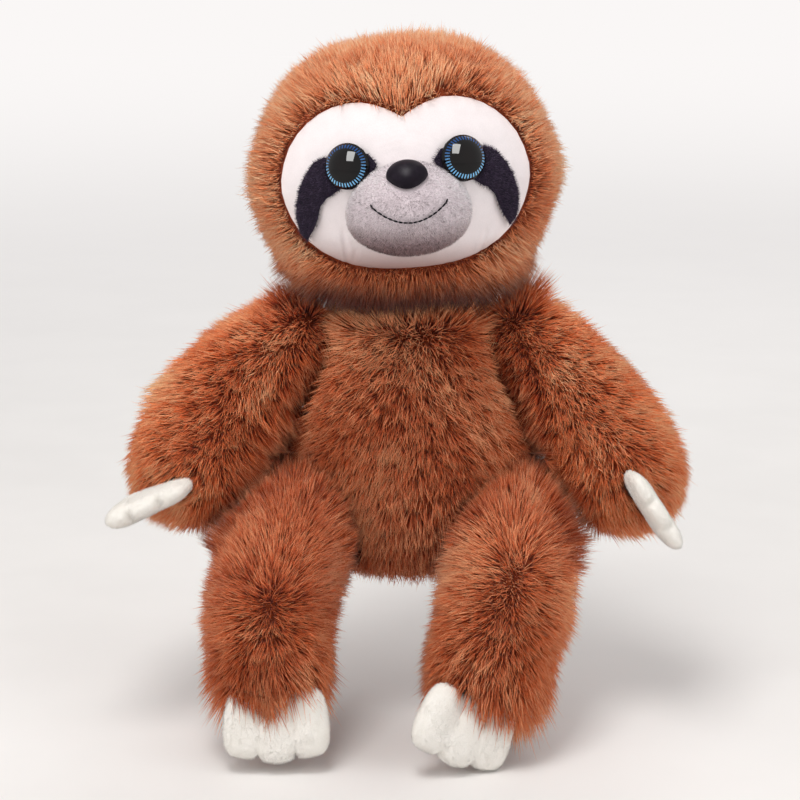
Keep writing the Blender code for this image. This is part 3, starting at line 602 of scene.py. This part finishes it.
# the corners of each kind's triangles, and where its corners lie on the finish: across the tone and up the fibre
straightFibre = {
    "corners": ((0, 2, 1), (0, 1, 3), (1, 2, 3), (2, 0, 3)),
    "across": (0.0, 0.008, 0.016, 0.008), "up": (0.02, 0.05, 0.02, 0.98),
}
bentFibre = {
    "corners": (
        (0, 2, 1), (0, 1, 4), (0, 4, 3), (1, 2, 5), (1, 5, 4), (2, 0, 3), (2, 3, 5), (3, 4, 6), (4, 5, 6), (5, 3, 6)
    ),
    "across": (0.0, 0.008, 0.016, 0.0, 0.008, 0.016, 0.008), "up": (0.02, 0.05, 0.02, 0.5, 0.53, 0.5, 0.98),
}


def fibreLines(roots, outward, comb, values, neighbours):
    # the middle and the tip of each fibre, its width and its tone
    dice = np.random.default_rng(values["seed"])
    count = len(roots)
    comb = alongSurface(comb, outward)
    comb = unit(comb) * np.minimum(1, np.linalg.norm(comb, axis=1, keepdims=True) * values["flow"])
    wander = unit(alongSurface(dice.normal(size=(count, 3)), outward))
    broad, broadSlope = ripple(roots, values["broad"], values["seed"] + 1)
    fine, fineSlope = ripple(roots, values["tuft"], values["seed"] + 2)
    lean = comb + wander * values["wander"] + alongSurface(broadSlope, outward) * values["sway"]
    flow = 0.5 + 0.5 * np.minimum(1, np.linalg.norm(lean, axis=1))
    lean = unit(lean)
    length = values["length"] * dice.uniform(*fibreValues["lengths"], count)
    length = length * values.get("lengthShare", np.ones(count)) * (1 + fibreValues["swell"] * broad)
    guard = dice.random(count) < values["guard"]
    length = np.where(guard, length * fibreValues["guardLonger"], length)
    low, high = math.radians(values["rootLean"]), math.radians(values["tipLean"])
    tilt = np.where(guard, fibreValues["guardSteeper"], 1.0) * dice.uniform(*fibreValues["tilts"], count)
    tilt = tilt * flow * values.get("tiltShare", 1.0)
    first = outward * np.cos(low * tilt)[:, None] + lean * np.sin(low * tilt)[:, None]
    second = outward * np.cos(high * tilt)[:, None] + lean * np.sin(high * tilt)[:, None]
    gather = alongSurface(fineSlope, outward) * values["gather"]
    middle = roots + first * (length * 0.5)[:, None] + gather * fibreValues["midGather"]
    tip = middle + unit(second) * (length * 0.5)[:, None] + gather
    for tree, clear in neighbours:
        for places, hold in ((middle, fibreValues["midHold"]), (tip, 1.0)):
            for i in range(count):
                near, normal, _, gap = tree.find_nearest(Vector(places[i]), fibreValues["search"])
                if near is not None and (Vector(places[i]) - near).dot(normal) < clear * hold:
                    places[i] = near + normal * clear * hold
    wide = values["width"] * dice.uniform(*fibreValues["widths"], count)
    tone = 0.5 + values["tone"] + fibreValues["toneBroad"] * broad + fibreValues["toneFine"] * fine
    tone = np.clip(tone + dice.normal(0, values["mottle"], count), *fibreValues["tones"])
    return middle, tip, wide, tone


def growPile(name, body, slot, finish, roots, outward, comb, values, neighbours=()):
    # roots, outward and comb are given for each fibre
    middle, tip, wide, tone = fibreLines(roots, outward, comb, values, neighbours)
    kind = bentFibre if values["bent"] else straightFibre
    atRoot, atMiddle, atTip = fibreValues["bend"]
    rings = [(roots - outward * fibreValues["rooted"], (middle if values["bent"] else tip) - roots)]
    if values["bent"]:
        rings.append((roots * atRoot + middle * atMiddle + tip * atTip, tip - roots))
    corners = []
    for place, towards in rings:
        along = unit(towards)
        across = unit(np.cross(along, outward) + 1e-6)
        up = np.cross(across, along)
        for angle in (90, 210, 330):
            a = math.radians(angle)
            corners.append(place + (across * math.cos(a) + up * math.sin(a)) * (wide / 2)[:, None])
    points = np.stack([*corners, tip], 1).reshape(-1, 3)
    starts = len(kind["up"]) * np.arange(len(roots))[:, None, None]
    faces = (np.array(kind["corners"])[None] + starts).reshape(-1)
    tones = (tone[:, None] + np.array(kind["across"])).reshape(-1)
    uv = np.stack([tones, np.tile(np.array(kind["up"]), len(roots))], 1)[faces]
    mesh = bpy.data.meshes.new(name)
    mesh.vertices.add(len(points))
    mesh.vertices.foreach_set("co", points.ravel())
    mesh.loops.add(len(faces))
    mesh.loops.foreach_set("vertex_index", faces)
    mesh.polygons.add(len(faces) // 3)
    mesh.polygons.foreach_set("loop_start", np.arange(0, len(faces), 3))
    mesh.uv_layers.new(name="OFBake").data.foreach_set("uv", uv.ravel())
    mesh.update(calc_edges=True)
    mesh.polygons.foreach_set("use_smooth", np.ones(len(mesh.polygons), bool))
    piece = bpy.data.objects.new(name, mesh)
    bpy.context.scene.collection.objects.link(piece)
    return wear(piece, finish, body, slot)


def rootsAmong(faces, points, outward, perSquareMm, seed):
    # even random roots on the faces, and the way out at each
    a, b, c = (points[faces[:, k]] for k in range(3))
    area = np.linalg.norm(np.cross(b - a, c - a), axis=1) / 2
    dice = np.random.default_rng(seed)
    chosen = dice.choice(len(faces), int(area.sum() * 1e6 * perSquareMm), p=area / area.sum())
    u, v = dice.random(len(chosen)), dice.random(len(chosen))
    flip = u + v > 1
    u, v = np.where(flip, 1 - u, u), np.where(flip, 1 - v, v)
    shares = np.stack([1 - u - v, u, v], 1)[:, :, None]
    return (points[faces[chosen]] * shares).sum(1), unit((outward[faces[chosen]] * shares).sum(1))


# the long pile has two layers: straight fibres below, bent ones on top
shared = {
    "broad": 0.045, "tuft": 0.0115, "wander": 0.30, "sway": 0.30, "guard": 0.05, "mottle": 0.16, "flow": 1.7
}
layers = {
    "under": {
        **shared, "perSquareMm": 0.95, "most": 48000, "bent": False,
        "length": 0.0100, "rootLean": 28, "tipLean": 56, "gather": 0.0012, "width": 0.00055,
    },
    "top": {
        **shared, "perSquareMm": 0.38, "most": 19500, "bent": True,
        "length": 0.0124, "rootLean": 24, "tipLean": 60, "gather": 0.0018, "width": 0.00042,
    },
}
seeds = {"roots": 40, "fibres": 60, "rim": 9}
neckMiddle = np.array((0.0, 0.0, 0.155))
whorls = {"right_leg": np.array((-0.0768, -0.1148, 0.0121)), "left_leg": np.array((0.0562, -0.0957, 0.0278))}
armReach = {"right_arm": np.array((-0.0575, -0.030, -0.0645)), "left_arm": np.array((0.0555, -0.030, -0.069))}
combValues = {
    "spread": 7.0, "down": 0.45, "lowDown": 0.55, "low": (0.07, 0.13), "back": (-0.03, 0.03), "backDown": 0.75,
    "whorl": 0.03,
}


def besideFace(roots):
    # which roots the face cloth leaves free
    out = unit(roots - headMiddle)
    rays = zip(roots - out * 0.001, out)
    return np.array([faceTree.ray_cast(Vector(root), Vector(ray), 0.006)[0] is None for root, ray in rays])


def combTorso(p):
    lower = 1 - rise(p[:, 2], *combValues["low"])
    return np.stack([p[:, 0] * combValues["spread"], 0 * p[:, 0], -combValues["down"] - combValues["lowDown"] * lower], 1)


def combHead(p):
    # away from the face in front, and down behind
    down = np.array((0.0, 0.0, -1.0))
    back = rise(p[:, 1], *combValues["back"])[:, None]
    return unit(p - faceMiddle) * (1 - combValues["backDown"] * back) + down * combValues["backDown"] * back


def combLimb(form):
    # round a whorl on a leg, and towards the hand on an arm
    if form in whorls:
        return lambda p: (p - whorls[form]) / combValues["whorl"]
    return lambda p: np.tile(armReach[form] / np.linalg.norm(armReach[form]), (len(p), 1))


combs = {"torso": combTorso, "head": combHead, **{form: combLimb(form) for form in covered if "_" in form}}
coverTrees = {form: treeOfNode(form + "_cover") for form in covered}
pileOf = {"head": headPile, "right_arm": armPile, "left_arm": armPile}
neckValues = {"longer": 0.3, "range": (0.03, 0.06)}
gapValues = {
    "share": 0.92, "longest": 1.95, "paintedShade": 0.45, "steeper": 0.5, "facing": 0.35, "least": 0.009, "most": 0.034,
    "beside": 0.02, "clear": -0.003,
}
rimValues = {
    "reach": 0.0038, "share": 0.50, "lengthShare": 0.74, "upright": 1.6, "uprightRange": (0.003, 0.008), "inward": -0.55
}
cuffValues = {
    "longer": 0.85, "down": 1.6, "range": (0.008, 0.036), "below": 0.6, "steeper": 0.45, "sides": (0.2, 0.7)
}
# tone shifts of the pile: painted shade under the chin, painted light on the top of the torso, and a shift round each
# leg's whorl
shadeValues = {
    "chin": 0.50, "chinRange": (0.166, 0.188), "chest": 0.20, "chestRange": (0.105, 0.130),
    "whorl": {"right_leg": -0.12, "left_leg": 0.14}, "whorlRange": (0.015, 0.050),
}
touching = {
    "torso": ("head", "right_arm", "left_arm", "right_leg", "left_leg"),
    "head": ("torso", "right_arm", "left_arm"),
    "right_arm": ("torso", "head", "right_leg"),
    "left_arm": ("torso", "head", "left_leg"),
    "right_leg": ("torso", "right_arm"),
    "left_leg": ("torso", "left_arm"),
}


def gapShares(form, roots, way, longer, steeper, paintedShade, length):
    # the pile reaches out over the gap to each neighbour, and painted shade darkens it there
    for other in touching[form]:
        for i, (root, out) in enumerate(zip(roots, way)):
            near, _, _, gap = coverTrees[other].find_nearest(Vector(root), gapValues["most"])
            if near is None:
                continue
            facing = (np.array(near) - root) @ out / max(gap, 1e-6)
            if facing > gapValues["facing"] and gap > gapValues["least"]:
                turned = min(1.0, (facing - gapValues["facing"]) / gapValues["facing"])
                reach = gap * gapValues["share"] / length * turned
                longer[i] = max(longer[i], min(gapValues["longest"], reach))
                steeper[i] = min(steeper[i], 1 - gapValues["steeper"] * turned)
                if (form, other) != ("torso", "head"):
                    paintedShade[i] = max(paintedShade[i], gapValues["paintedShade"] * turned)


def neighboursOf(form, roots):
    # the covers near enough for these fibres to meet them
    near = []
    for other in touching[form]:
        low, high = (np.array(corner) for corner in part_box(other + "_cover"))
        if ((roots > low - gapValues["beside"]) & (roots < high + gapValues["beside"])).all(1).any():
            near.append((coverTrees[other], gapValues["clear"]))
    return near


for number, form in enumerate(covered):
    for layer, values in layers.items():
        faces, outward = outerFaces[form]
        rootSeed = seeds["roots"] + number + 10 * values["bent"]
        roots, way = rootsAmong(faces, pointsOf(skins[form]), outward, values["perSquareMm"], rootSeed)
        if form == "head":
            free = besideFace(roots)
            roots, way = roots[free], way[free]
        values = {**values, "seed": seeds["fibres"] + 10 * number + values["bent"]}
        toNeck = np.linalg.norm(roots - neckMiddle, axis=1)
        longer = 1 + neckValues["longer"] * (1 - rise(toNeck, *neckValues["range"])) * (form in ("torso", "head"))
        steeper, paintedShade, lighter = np.ones(len(roots)), np.zeros(len(roots)), np.zeros(len(roots))
        comb = combs[form](roots)
        if form == "head":
            # painted shade: the pile under the front of the chin is darker
            paintedShade = shadeValues["chin"] * (1 - rise(roots[:, 2], *shadeValues["chinRange"])) * (roots[:, 1] < 0)
            # round the face cloth part of the pile stands in over the seam
            toPanel = distances(faceTree, roots)
            upright = rimValues["upright"] * (1 - rise(toPanel, *rimValues["uprightRange"]))
            way = unit(way + unit(roots - headMiddle) * upright[:, None])
            atRim = toPanel < rimValues["reach"]
            inward = atRim & (np.random.default_rng(seeds["rim"]).random(len(roots)) < rimValues["share"])
            comb[inward] *= rimValues["inward"]
            longer = np.where(atRim, rimValues["lengthShare"], longer)
        if form == "torso":
            # painted light: the pile on the top of the torso, under the chin, is lighter
            lighter = shadeValues["chest"] * rise(roots[:, 2], *shadeValues["chestRange"])
        if form in whorls:
            toWhorl = np.linalg.norm(roots - whorls[form], axis=1)
            lighter = shadeValues["whorl"][form] * (1 - rise(toWhorl, *shadeValues["whorlRange"]))
            # the pile hangs lower round the foot, over the roots of the toes
            low = roots[:, 2] - roots[:, 2].min()
            cuff = (1 - rise(low, *cuffValues["range"])) * np.clip(-way[:, 2] + cuffValues["below"], 0, 1)
            comb = comb + np.array((0.0, 0.0, -cuffValues["down"])) * cuff[:, None]
            longer = longer + cuffValues["longer"] * cuff
            steeper = 1 - cuffValues["steeper"] * cuff * rise(np.abs(way[:, 0]), *cuffValues["sides"])
        gapShares(form, roots, way, longer, steeper, paintedShade, values["length"])
        # the layer is cut into slices round the form, so that no piece holds too many triangles
        slices = max(1, math.ceil(len(roots) / values["most"]))
        turn = np.arctan2(roots[:, 0] - roots[:, 0].mean(), -(roots[:, 1] - roots[:, 1].mean()))
        for part, chosen in enumerate(np.array_split(np.argsort(turn, kind="stable"), slices)):
            own = {"lengthShare": longer[chosen], "tiltShare": steeper[chosen], "tone": (lighter - paintedShade)[chosen]}
            growPile(
                f"{form}_{layer}_pile_{part + 1}", form, "plush", pileOf.get(form, brownPile),
                roots[chosen], way[chosen], comb[chosen], {**values, **own}, neighboursOf(form, roots[chosen]),
            )
        print("pile grown on", form, layer, len(roots))


# the eye patches, fitted round the eyes; their shape is worked in radii of the eye
eyeValues = {"radius": 0.0120, "low": 0.0017, "top": 0.0078, "segments": 56, "rings": 36, "dashes": 40}
eyeSeats = {
    "right": {
        "place": (-0.03387, -0.06771, 0.23143), "side": (0.94845, -0.30992, 0.06632),
        "up": (-0.00249, 0.20197, 0.97939), "out": (-0.31693, -0.92906, 0.19078),
    },
    "left": {
        "place": (0.02557, -0.06646, 0.23558), "side": (0.93467, 0.34947, 0.06536),
        "up": (-0.14222, 0.19903, 0.96962), "out": (0.32584, -0.91556, 0.23573),
    },
}
patchValues = {
    "voxel": 0.0005, "smoothing": 8, "nearer": 0.0012, "tail": {"right": 0.62, "left": 0.40},
    "cornerHigh": 0.22, "cornerPull": 0.62, "corner": (0.35, 0.9),
    "edge": 0.97, "bandLow": -0.5, "bandIn": (0.3, 0.9), "bandOut": (-1.0, -0.6),
    "tailRange": (1.2, 2.7), "tailOuter": (0.0, 0.5), "tailFrom": 1.55, "outwards": 0.32, "inwards": 0.22, "down": 0.36,
}
for side, eyeSeat in eyeSeats.items():
    patch = copyOf(side + "_eye_patch", side + "_patch_cloth")
    patch = remeshed(patch, patchValues["voxel"], patchValues["smoothing"])
    seat, radius, outside = seatMatrix(eyeSeat), eyeValues["radius"], -1 if side == "right" else 1
    local = np.array([seat.inverted() @ Vector(p) for p in pointsOf(patch)])
    x, y = local[:, 0] * outside / radius, local[:, 1] / radius
    # the inner corner is flattened, and the lower edge drawn in under the eye
    high, edge = patchValues["cornerHigh"], patchValues["edge"]
    corner = rise(x, *patchValues["corner"]) * (y > high)
    y = np.where(corner > 0, high + (y - high) * (1 - patchValues["cornerPull"] * corner), y)
    far = np.hypot(x, y)
    band = (1 - rise(x, *patchValues["bandIn"])) * rise(x, *patchValues["bandOut"])
    band = band * (y < patchValues["bandLow"]) * (far > edge)
    pull = np.where(band > 0, 1 - band * (1 - edge / np.maximum(far, edge)), 1.0)
    x, y = x * pull, y * pull
    # the tail is drawn down to the seam of the face cloth
    tail, reach = rise(-y, *patchValues["tailRange"]), patchValues["tail"][side]
    outer = rise(x - patchValues["tailFrom"], *patchValues["tailOuter"]) * tail
    x = x + reach * (patchValues["outwards"] * outer - patchValues["inwards"] * tail**2 * (1 - outer))
    y = y - reach * (patchValues["down"] * tail)
    local[:, 0], local[:, 1] = x * outside * radius, y * radius
    points = np.array([seat @ Vector(p) for p in local])
    movePoints(patch, points + unit(points - headMiddle) * patchValues["nearer"])
    wear(patch, darkCloth, "head", "dark_fleece", side + "_eye_patch")
print("eye patches made")


# the eyes: one dome each, with the iris and its ring of dashes painted on it under a clear coat
irisValues = {
    "ringIn": (0.735, 0.765), "ringOut": (0.90, 0.925), "dash": (-0.02, 0.42), "lower": (-0.55, 0.85),
    "pupil": (0.0, 0.72), "dust": 300.0, "dustShare": 0.05,
    "dashPaintedShade": paint(26, 72, 132), "dashPaintedLight": paint(136, 204, 250), "inner": paint(14, 8, 8), "outer": paint(4, 3, 4),
}
for side, seat in eyeSeats.items():
    dome = halfBall(side + "_eye_dome", eyeValues["segments"], eyeValues["rings"], eyeValues["radius"], 0.0)
    # the half ball is flattened to a cap of a larger ball
    points = pointsOf(dome)
    crown = eyeValues["top"] - eyeValues["low"]
    ball = (eyeValues["radius"] ** 2 + crown**2) / (2 * crown)
    polar = np.arctan2(np.linalg.norm(points[:, :2], axis=1), points[:, 2])
    steep = polar / (math.pi / 2) * math.asin(eyeValues["radius"] / ball)
    around = np.arctan2(points[:, 1], points[:, 0])
    wide, high = ball * np.sin(steep), eyeValues["top"] - ball + ball * np.cos(steep)
    movePoints(dome, np.stack([wide * np.cos(around), wide * np.sin(around), high], 1))
    seated(dome, seat)
    iris = Finish(
        side + "IrisUnderDome", Coat_Roughness=0.03, Coat_IOR=1.34, Specular_IOR_Level=0.0, Roughness=0.3
    )
    turn = seatMatrix(seat).to_euler()
    inputs = {"Vector": iris.place(), "Location": seat["place"], "Rotation": turn}
    here = iris.node("ShaderNodeMapping", {"vector_type": "TEXTURE"}, inputs)
    x, y = iris.part(here, 0), iris.part(here, 1)
    radius = (x * x + y * y) ** 0.5 / eyeValues["radius"]
    angle = x.math("ARCTAN2", y, x) * eyeValues["dashes"]
    ring = radius.eased(*irisValues["ringIn"]) * (1 - radius.eased(*irisValues["ringOut"]))
    dash = angle.math("COSINE", angle).eased(*irisValues["dash"]) * ring
    # painted light: the dashes are lighter towards the bottom of the eye and darker at its top
    lower = (y * (-1 / eyeValues["radius"])).eased(*irisValues["lower"])
    blue = iris.mix(lower, irisValues["dashPaintedShade"], irisValues["dashPaintedLight"])
    brown = iris.mix(radius.eased(*irisValues["pupil"]), irisValues["inner"], irisValues["outer"])
    iris.set("Base Color", iris.mix(dash, brown, blue))
    iris.set("Coat Weight", 1.0 - irisValues["dustShare"] * iris.noise(irisValues["dust"]))
    wear(dome, iris.material, "head", "eye_dome", side + "_eye_lens")
    dress(side + "_eye_backing", rimPlastic)
    dress(side + "_eye_washer", washerNylon)
dress("nose_washer", washerNylon)
print("eyes made")


# the muzzle, in the frame of the neck, which carries the head's tilt
neckFrame = Matrix((
    (0.99735, -0.02089, -0.06976, 0.0), (0.02094, 0.99978, 0.0, 0.0), (0.06974, -0.00146, 0.99756, 0.154), (0, 0, 0, 1)
))
muzzleValues = {
    "halfWidth": 0.0325, "halfHeight": 0.0245, "reach": 0.030, "height": 0.0565, "droop": 0.12, "back": -0.0703,
    "voxel": 0.0012, "smoothing": 12, "sewn": 0.002, "pressure": 20.0, "most": 0.0006, "settle": 18,
}
muzzleMiddle = neckFrame @ Vector((0, muzzleValues["back"], muzzleValues["height"]))


def onMuzzle(x, z, grow):
    # the muzzle's front at x and z from its middle, in the room's frame
    halfWidth, halfHeight = muzzleValues["halfWidth"], muzzleValues["halfHeight"]
    wide = (halfWidth + grow) * (1 - muzzleValues["droop"] * z / halfHeight)
    left = max(0.0, 1 - (x / wide) ** 2 - (z / (halfHeight + grow)) ** 2)
    y = muzzleValues["back"] - (muzzleValues["reach"] + grow) * math.sqrt(left)
    return neckFrame @ Vector((x, y, muzzleValues["height"] + z))


muzzle = remeshed(copyOf("muzzle_cover", "muzzle_skin"), muzzleValues["voxel"], muzzleValues["smoothing"])
# it is sewn to the face along its back
depths = np.array([(neckFrame.inverted() @ Vector(p)).y for p in pointsOf(muzzle)])
sewn = depths > muzzleValues["back"] + muzzleValues["sewn"]
puffed(muzzle, sewn, muzzleValues["pressure"], muzzleValues["most"])
addModifier(muzzle, "SMOOTH", factor=0.5, iterations=muzzleValues["settle"])
wear(muzzle, muzzleCloth, "head", "grey_pile", "muzzle_cover")
print("muzzle made")


# the nose: a flattened half ball, narrower below
noseValues = {
    "halfWidth": 0.0107, "halfHeight": 0.0092, "dome": 0.0075, "point": 0.30, "segments": 48, "rings": 32, "cut": -0.12
}
noseSeat = {
    "place": (-0.00336, -0.09068, 0.22922), "side": (0.99735, 0.02094, 0.06974),
    "up": (-0.05667, 0.82472, 0.56269), "out": (-0.04573, -0.56515, 0.82372),
}
nose = halfBall("nose_button", noseValues["segments"], noseValues["rings"], 1.0, noseValues["cut"])
points = pointsOf(nose)
points[:, 0] *= noseValues["halfWidth"] * (1 - noseValues["point"] * np.maximum(0, -points[:, 1]))
points[:, 1] *= noseValues["halfHeight"]
points[:, 2] *= noseValues["dome"]
movePoints(nose, points)
wear(seated(nose, noseSeat), nosePlastic, "head", "nose", "nose")
print("nose made")


# the mitts: three soft claws each, drawn together by the cloth over them
mittValues = {
    "voxel": 0.0012, "smoothing": 3, "fuller": 0.0006, "wrap": {"foot": 0.75, "hand": 0.97}, "wrapRange": (0.25, 0.85),
    "innerEnd": {"right": 0.90, "left": 0.84}, "outerMore": {"right": 0.26, "left": 0.04}, "outerRange": (-0.010, 0.014),
    "groove": 0.86, "held": 0.12, "pressure": {"foot": 14.0, "hand": 8.0}, "most": 0.0005,
    "settle": {"foot": 8, "hand": 20},
}
mittNames = ("right_hand", "left_hand", "right_foot", "left_foot")


def limbMiddle(name):
    # the middle of the limb that carries a hand or a foot
    limb = name.replace("hand", "arm").replace("foot", "leg") + "_skin"
    return pointsOf(bpy.data.objects[limb]).mean(0)


for name in mittNames:
    side, kind = name.split("_")
    mitt = remeshed(copyOf(name + "_claws", name + "_mitt"), mittValues["voxel"], mittValues["smoothing"])
    points = pointsOf(mitt)
    if kind == "hand":
        # the hand widens to its outer end
        middle = points.mean(0)
        axis = np.linalg.svd(points - middle, full_matrices=False)[2][0]
        axis = axis * np.sign(axis[0] * middle[0])
        run = (points - middle) @ axis
        core = middle + run[:, None] * axis
        wider = mittValues["outerMore"][side] * rise(run, *mittValues["outerRange"])
        points = core + (points - core) * (mittValues["innerEnd"][side] + wider)[:, None]
    along = points @ unit(points.mean(0) - limbMiddle(name))
    movePoints(mitt, points)
    bm = bmesh.new()
    bm.from_mesh(mitt.data)
    wrap = bmesh.ops.convex_hull(bm, input=bm.verts)["geom"]
    hullFaces = [[v.index for v in f.verts] for f in wrap if isinstance(f, bmesh.types.BMFace)]
    hull = BVHTree.FromPolygons([v.co.copy() for v in bm.verts], hullFaces)
    bm.free()
    toWrap = np.array([np.array(hull.find_nearest(Vector(p))[0]) for p in points]) - points
    depth = np.linalg.norm(toWrap, axis=1)
    share = np.full(len(points), mittValues["wrap"][kind])
    if kind == "foot":
        share = share * rise((along - along.min()) / np.ptp(along), *mittValues["wrapRange"])
    movePoints(mitt, points + toWrap * share[:, None] + outwardOf(mitt) * mittValues["fuller"])
    # a foot is held in its grooves too, and each mitt at its root
    inGroove = (depth > np.quantile(depth, mittValues["groove"])) & (kind == "foot")
    held = inGroove | (along < np.quantile(along, mittValues["held"]))
    puffed(mitt, held, mittValues["pressure"][kind], mittValues["most"])
    addModifier(mitt, "SMOOTH", factor=0.5, iterations=mittValues["settle"][kind])
    wear(mitt, creamCloth, name + "_claws", "cream_pile", name + "_claws")
print("mitts made")


# the short piles on muzzle, mitts and patches
shortValues = {"broad": 0.03, "tuft": 0.004, "sway": 0.3, "guard": 0.03, "tone": 0.0, "flow": 1.7, "bent": False}
muzzlePile = {
    **shortValues, "seed": 301, "length": 0.0018, "wander": 0.3, "rootLean": 42, "tipLean": 58, "gather": 0.0001,
    "width": 0.00028, "mottle": 0.19, "rootSeed": 300, "perSquareMm": 2.8,
    "front": -0.058, "eggForward": -0.008, "eggLeast": 0.004, "clearOfNose": (0.0102, 0.012, 0.0092),
    "lower": 0.30, "lowerRange": (0.004, 0.026), "comb": 0.012,
}
mittPile = {
    **shortValues, "seed": 311, "length": 0.0014, "wander": 0.3, "rootLean": 44, "tipLean": 60, "gather": 0.0,
    "width": 0.00028, "mottle": 0.08, "rootSeed": 310, "perSquareMm": 2.4,
}
patchPile = {
    **shortValues, "seed": 321, "length": 0.0019, "wander": 0.5, "rootLean": 30, "tipLean": 55, "gather": 0.0003,
    "width": 0.00034, "mottle": 0.25, "rootSeed": 320, "perSquareMm": 3.0,
    "facing": -0.1, "clearOfEye": 1.02, "overEdge": 2.0, "fromEye": 0.25,
}


def rootsOn(piece, values, wanted=None):
    # even random roots on the faces of a piece, or on those that the test wants
    points, normals = pointsOf(piece), outwardOf(piece)
    piece.data.calc_loop_triangles()
    flat = np.empty(len(piece.data.loop_triangles) * 3, int)
    piece.data.loop_triangles.foreach_get("vertices", flat)
    faces = flat.reshape(-1, 3)
    if wanted:
        faces = faces[wanted(points[faces].mean(1), unit(normals[faces].sum(1)))]
    return rootsAmong(faces, points, normals, values["perSquareMm"], values["rootSeed"])


noseMiddle = np.array(noseSeat["place"])
eggMiddle = np.array(muzzleMiddle) + np.array((0, muzzlePile["eggForward"], 0))


def onMuzzleFront(p, n):
    return (((p - eggMiddle) * n).sum(1) > muzzlePile["eggLeast"]) & (p[:, 1] < muzzlePile["front"])


roots, way = rootsOn(muzzle, muzzlePile, onMuzzleFront)
clearOfNose = np.linalg.norm((roots - noseMiddle) / np.array(muzzlePile["clearOfNose"]), axis=1) > 1
roots, way = roots[clearOfNose], way[clearOfNose]
# painted shade: the muzzle's pile is darker towards its bottom
lower = muzzlePile["lower"] * rise(muzzleMiddle.z - roots[:, 2], *muzzlePile["lowerRange"])
comb = (roots - noseMiddle) / muzzlePile["comb"]
growPile("muzzle_pile", "head", "grey_pile", greyPile, roots, way, comb, {**muzzlePile, "tone": -lower})
for side, seat in eyeSeats.items():
    out, middle = np.array(seat["out"]), np.array(seat["place"])
    patch = bpy.data.objects[side + "_patch_cloth"]
    roots, way = rootsOn(patch, patchPile, lambda p, n: (n * out).sum(1) > patchPile["facing"])
    fromEye = np.linalg.norm(np.cross(roots - middle, out), axis=1)
    clearOfEye = fromEye > eyeValues["radius"] * patchPile["clearOfEye"]
    roots, way = roots[clearOfEye], way[clearOfEye]
    # the fleece is combed over the edge of the patch
    overEdge = patchPile["overEdge"] * (way - out * (way @ out)[:, None])
    comb = overEdge + patchPile["fromEye"] * unit(roots - middle)
    growPile(side + "_patch_pile", "head", "dark_fleece", darkPile, roots, way, comb, patchPile)
for name in mittNames:
    mitt = bpy.data.objects[name + "_mitt"]
    roots, way = rootsOn(mitt, mittPile)
    comb = unit(pointsOf(mitt).mean(0) - limbMiddle(name))[None] * np.ones((len(roots), 1))
    growPile(name + "_mitt_pile", name + "_claws", "cream_pile", creamPile, roots, way, comb, mittPile)
print("short piles grown")


# the smile: a row of short stitches, with one more turned up at each end
smileValues = {
    "halfWidth": 0.019, "top": 0.0610, "sag": 0.0085, "stitches": 15, "thread": 0.00050, "share": 1.02,
    "proud": 0.0012, "endIn": 0.0004, "endLow": 0.0010, "endOut": 0.0006, "endHigh": 0.0016,
}
smileTop = smileValues["top"] - muzzleValues["height"]


def onSmile(across):
    z = smileTop - smileValues["sag"] * (1 - across**2)
    return onMuzzle(across * smileValues["halfWidth"], z, smileValues["proud"])


bpy.ops.object.select_all(action="DESELECT")
bpy.ops.mesh.primitive_uv_sphere_add(segments=10, ring_count=8, radius=1.0)
stitch = bpy.context.object
stitchMesh = stitch.data
bpy.data.objects.remove(stitch, do_unlink=True)
ends = []
for i in range(smileValues["stitches"]):
    shares = ((1 - smileValues["share"]) / 2, (1 + smileValues["share"]) / 2)
    ends.append([onSmile(2 * (i + share) / smileValues["stitches"] - 1) for share in shares])
for across in (-1.0, 1.0):
    inner = neckFrame.to_3x3() @ Vector((across * smileValues["endIn"], 0, smileValues["endLow"]))
    x = across * (smileValues["halfWidth"] + smileValues["endOut"])
    outer = onMuzzle(x, smileTop + smileValues["endHigh"], smileValues["proud"])
    ends.append((onSmile(across) - inner, outer))
bm = bmesh.new()
for a, b in ends:
    lie = (b - a).to_track_quat("Z", "Y").to_matrix().to_4x4()
    size = Matrix.Diagonal((smileValues["thread"], smileValues["thread"], (b - a).length / 2, 1))
    before = len(bm.verts)
    bm.from_mesh(stitchMesh)
    bm.verts.ensure_lookup_table()
    bmesh.ops.transform(bm, matrix=Matrix.Translation((a + b) / 2) @ lie @ size, verts=bm.verts[before:])
smileMesh = bpy.data.meshes.new("smile_thread")
bm.to_mesh(smileMesh)
bm.free()
smile = bpy.data.objects.new("smile_thread", smileMesh)
bpy.context.scene.collection.objects.link(smile)
wear(smoothed(smile), threadFinish, "head", "thread", "mouth_stitch")
print("smile made")

shown = [piece for piece in bpy.data.objects if piece.type == "MESH" and not piece.hide_render]
print("faces in the pieces:", sum(len(piece.data.polygons) for piece in shown))
